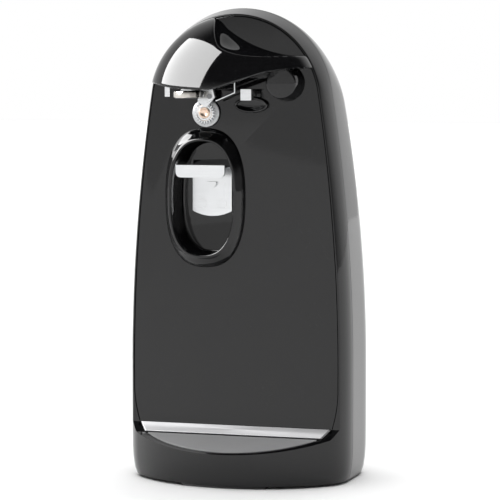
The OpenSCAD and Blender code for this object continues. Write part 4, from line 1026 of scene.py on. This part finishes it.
copper_flash = brushed_metal("copper_flash", (0.62, 0.43, 0.32), (0.80, 0.66, 0.55),
                             0.3, (400, 400, 400), (0.9, 0.8, 0.72), 0.1, 0.0)
shaft_lo, shaft_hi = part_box("feed_shaft")
shaft_y0, shaft_y1 = shaft_lo.y / MM, shaft_hi.y / MM
shaft = rod("shaft", FEED_AT, [(2.9, shaft_y0), (3.2, shaft_y0 + 0.3), (3.2, shaft_y1 - 0.4),
                               (2.8, shaft_y1)], 72)
shaft_dish = rod("dish", FEED_AT, [(2.25, shaft_y0 - 1), (2.25, shaft_y0 + 0.02), (1.9, shaft_y0 + 0.45),
                                   (1.2, shaft_y0 + 0.8), (0.3, shaft_y0 + 0.95)], 48)
combine(shaft, shaft_dish, "DIFFERENCE")
finish_piece(shaft, "copper_shaft", "feed_unit", ["feed_shaft"], 35)
paint(shaft, copper_flash)
for name in ("shaft_bushing_front", "shaft_bushing_rear"):
    keep_node(name, bronze)
keep_node("shaft_clip", dark_steel, 0.08)

# --- Can guide ----------------------------------------------------------------------------
# A square-headed bright steel stud keeps the can's rim in line. It stands in an oval black
# surround set on the panel.
keep_node("can_guide", bright_steel, 0.25)
bezel_lo, bezel_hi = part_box("guide_bezel")
bezel_x, bezel_z = (bezel_lo.x + bezel_hi.x) / 2 / MM, (bezel_lo.z + bezel_hi.z) / 2 / MM
bezel_a, bezel_b = (bezel_hi.x - bezel_lo.x) / 2 / MM, (bezel_hi.z - bezel_lo.z) / 2 / MM


def ellipse(inset, y):
    """Outline of the surround at depth y from the panel, moved in by inset."""
    return [(bezel_x + (bezel_a - inset) * math.cos(2 * math.pi * i / 96), Y_PANEL + y,
             bezel_z + (bezel_b - inset) * math.sin(2 * math.pi * i / 96)) for i in range(96)]


bezel = loop_prism("bezel", [ellipse(inset, y) for inset, y in [
    (0, -0.05), (0, -1.6), (0.15, -2.2), (0.5, -2.6), (0.95, -2.8), (1.35, -2.65), (1.6, -2.3)]])
bezel_room = loop_prism("bezel_room", [ellipse(inset, y) for inset, y in [
    (1.5, -14), (1.5, -2.4), (1.75, -1.6), (2.6, -1.1), (3.6, -1.0)]])
combine(bezel, bezel_room, "DIFFERENCE")
combine(bezel, rod("stud_hole", GUIDE_AT, [(2.85, -50), (2.85, -20)], 48), "DIFFERENCE")
finish_piece(bezel, "guide_surround", "case", ["guide_bezel"], 35)
paint(bezel, gloss_black)

# --- Gear train ---------------------------------------------------------------------------
# Two zinc-plated steel plates on spacers carry three nylon gears on steel pins, between the
# motor's bronze pinion and the feed shaft.
zinc_plate = brushed_metal("zinc_plate", (0.46, 0.47, 0.47), (0.58, 0.59, 0.60),
                           0.36, (200, 200, 200), (0.7, 0.7, 0.7), 0.1, 0.0)
for name in ("front_gear_plate", "rear_gear_plate", "frame_spacers", "motor_rear_bracket",
             "motor_spacers", "switch_bracket"):
    keep_node(name, zinc_plate, 0.15)
for name in ("frame_screws", "motor_screws", "case_screws"):
    keep_node(name, dark_steel, 0.15)
for name in ("final_gear", "second_gear", "first_gear", "cooling_fan"):
    keep_node(name, natural_nylon, 0.1)
keep_node("gear_pins", bright_steel, 0.15)

# --- Motor --------------------------------------------------------------------------------
# A shaded-pole motor: varnished laminations, a copper coil on a black bobbin, and a rotor on a
# long shaft that carries the pinion, the fan and the grinding wheel.

def textured(name, metallic, pattern, output, smear, colours, rough, bump):
    """A finish whose colour and relief follow one texture node, with smears in its gloss."""
    material, tree, shader = new_material(name, metallic)
    coords = tree.nodes.new("ShaderNodeTexCoord")
    figure = tree.nodes.new(pattern["node"])
    if "bands" in pattern:
        figure.bands_direction = pattern["bands"]
        figure.inputs["Distortion"].default_value = pattern["distortion"]
    figure.inputs["Scale"].default_value = pattern["scale"]
    tree.links.new(coords.outputs["Object"], figure.inputs["Vector"])
    marks = place_group(tree, handling, Smear_Scale=smear)
    tree.links.new(mix_colour(tree, figure.outputs[output], *colours), shader.inputs["Base Color"])
    tree.links.new(add_share(tree, rough[1], marks.outputs["Smear"], rough[0]), shader.inputs["Roughness"])
    bump_into(tree, shader, figure.outputs[output], *bump)
    return material


laminations = textured("laminations", 0.7,
                       {"node": "ShaderNodeTexWave", "bands": "Y", "scale": 320, "distortion": 0.6},
                       "Fac", 80.0, ((0.05, 0.055, 0.065), (0.22, 0.23, 0.25)), (0.3, 0.3), (0.5, 0.0001))
enamel_wire = textured("enamel_wire", 0.9,
                       {"node": "ShaderNodeTexWave", "bands": "X", "scale": 420, "distortion": 0.8},
                       "Fac", 120.0, ((0.22, 0.06, 0.02), (0.62, 0.25, 0.10)), (0.25, 0.2), (0.8, 0.0002))
inner_black = moulded_plastic("inner_black", (0.018, 0.018, 0.02), (0.03, 0.03, 0.033),
                              0.45, 0.15, (1500, 0.3), (0.12, 0.12, 0.12))
for name in ("motor_core", "rotor_core"):
    keep_node(name, laminations, 0.15)
keep_node("motor_coil", enamel_wire, 0.6)
keep_node("coil_bobbin", inner_black, 0.15)
keep_node("rotor_shaft", bright_steel, 0.15)
keep_node("motor_pinion", bronze, 0.06)
keep_node("motor_bushings", bronze, 0.12)

# --- Sharpener ----------------------------------------------------------------------------
# A small grinding wheel on the motor's shaft behind a slotted black guide in the back of the
# case, for knives.
grit = textured("grit", 0.0, {"node": "ShaderNodeTexVoronoi", "scale": 2600},
                "Distance", 150.0, ((0.14, 0.16, 0.20), (0.42, 0.46, 0.52)), (0.2, 0.7), (0.8, 0.0002))
keep_node("grinding_wheel", grit, 0.2)
keep_node("sharpener_guide", inner_black, 0.25)

# --- Switch -------------------------------------------------------------------------------
# A small moulded switch under the lever's cam; its red button rises when the lever is lifted.
red_button = moulded_plastic("red_button", (0.42, 0.03, 0.02), (0.52, 0.06, 0.04),
                             0.35, 0.1, (900, 0.1), (0.7, 0.3, 0.25))
keep_node("switch_body", inner_black, 0.3)
keep_node("switch_plunger", red_button, 0.2)

# --- Base, feet and cord inlet ------------------------------------------------------------
# A black tray closes the bottom, soft rubber feet keep the opener from creeping, and a rubber
# bush lines the hole that the mains lead comes in by. No lead is modelled.
rubber = moulded_plastic("rubber", (0.012, 0.012, 0.013), (0.022, 0.022, 0.023),
                         0.72, 0.15, (1800, 0.5), (0.06, 0.06, 0.06))
keep_node("base_plate", inner_black, 0.3)
keep_node("front_foot", rubber, 0.3)
keep_node("rear_feet", rubber, 0.3)
keep_node("cord_gland", rubber, 0.5)
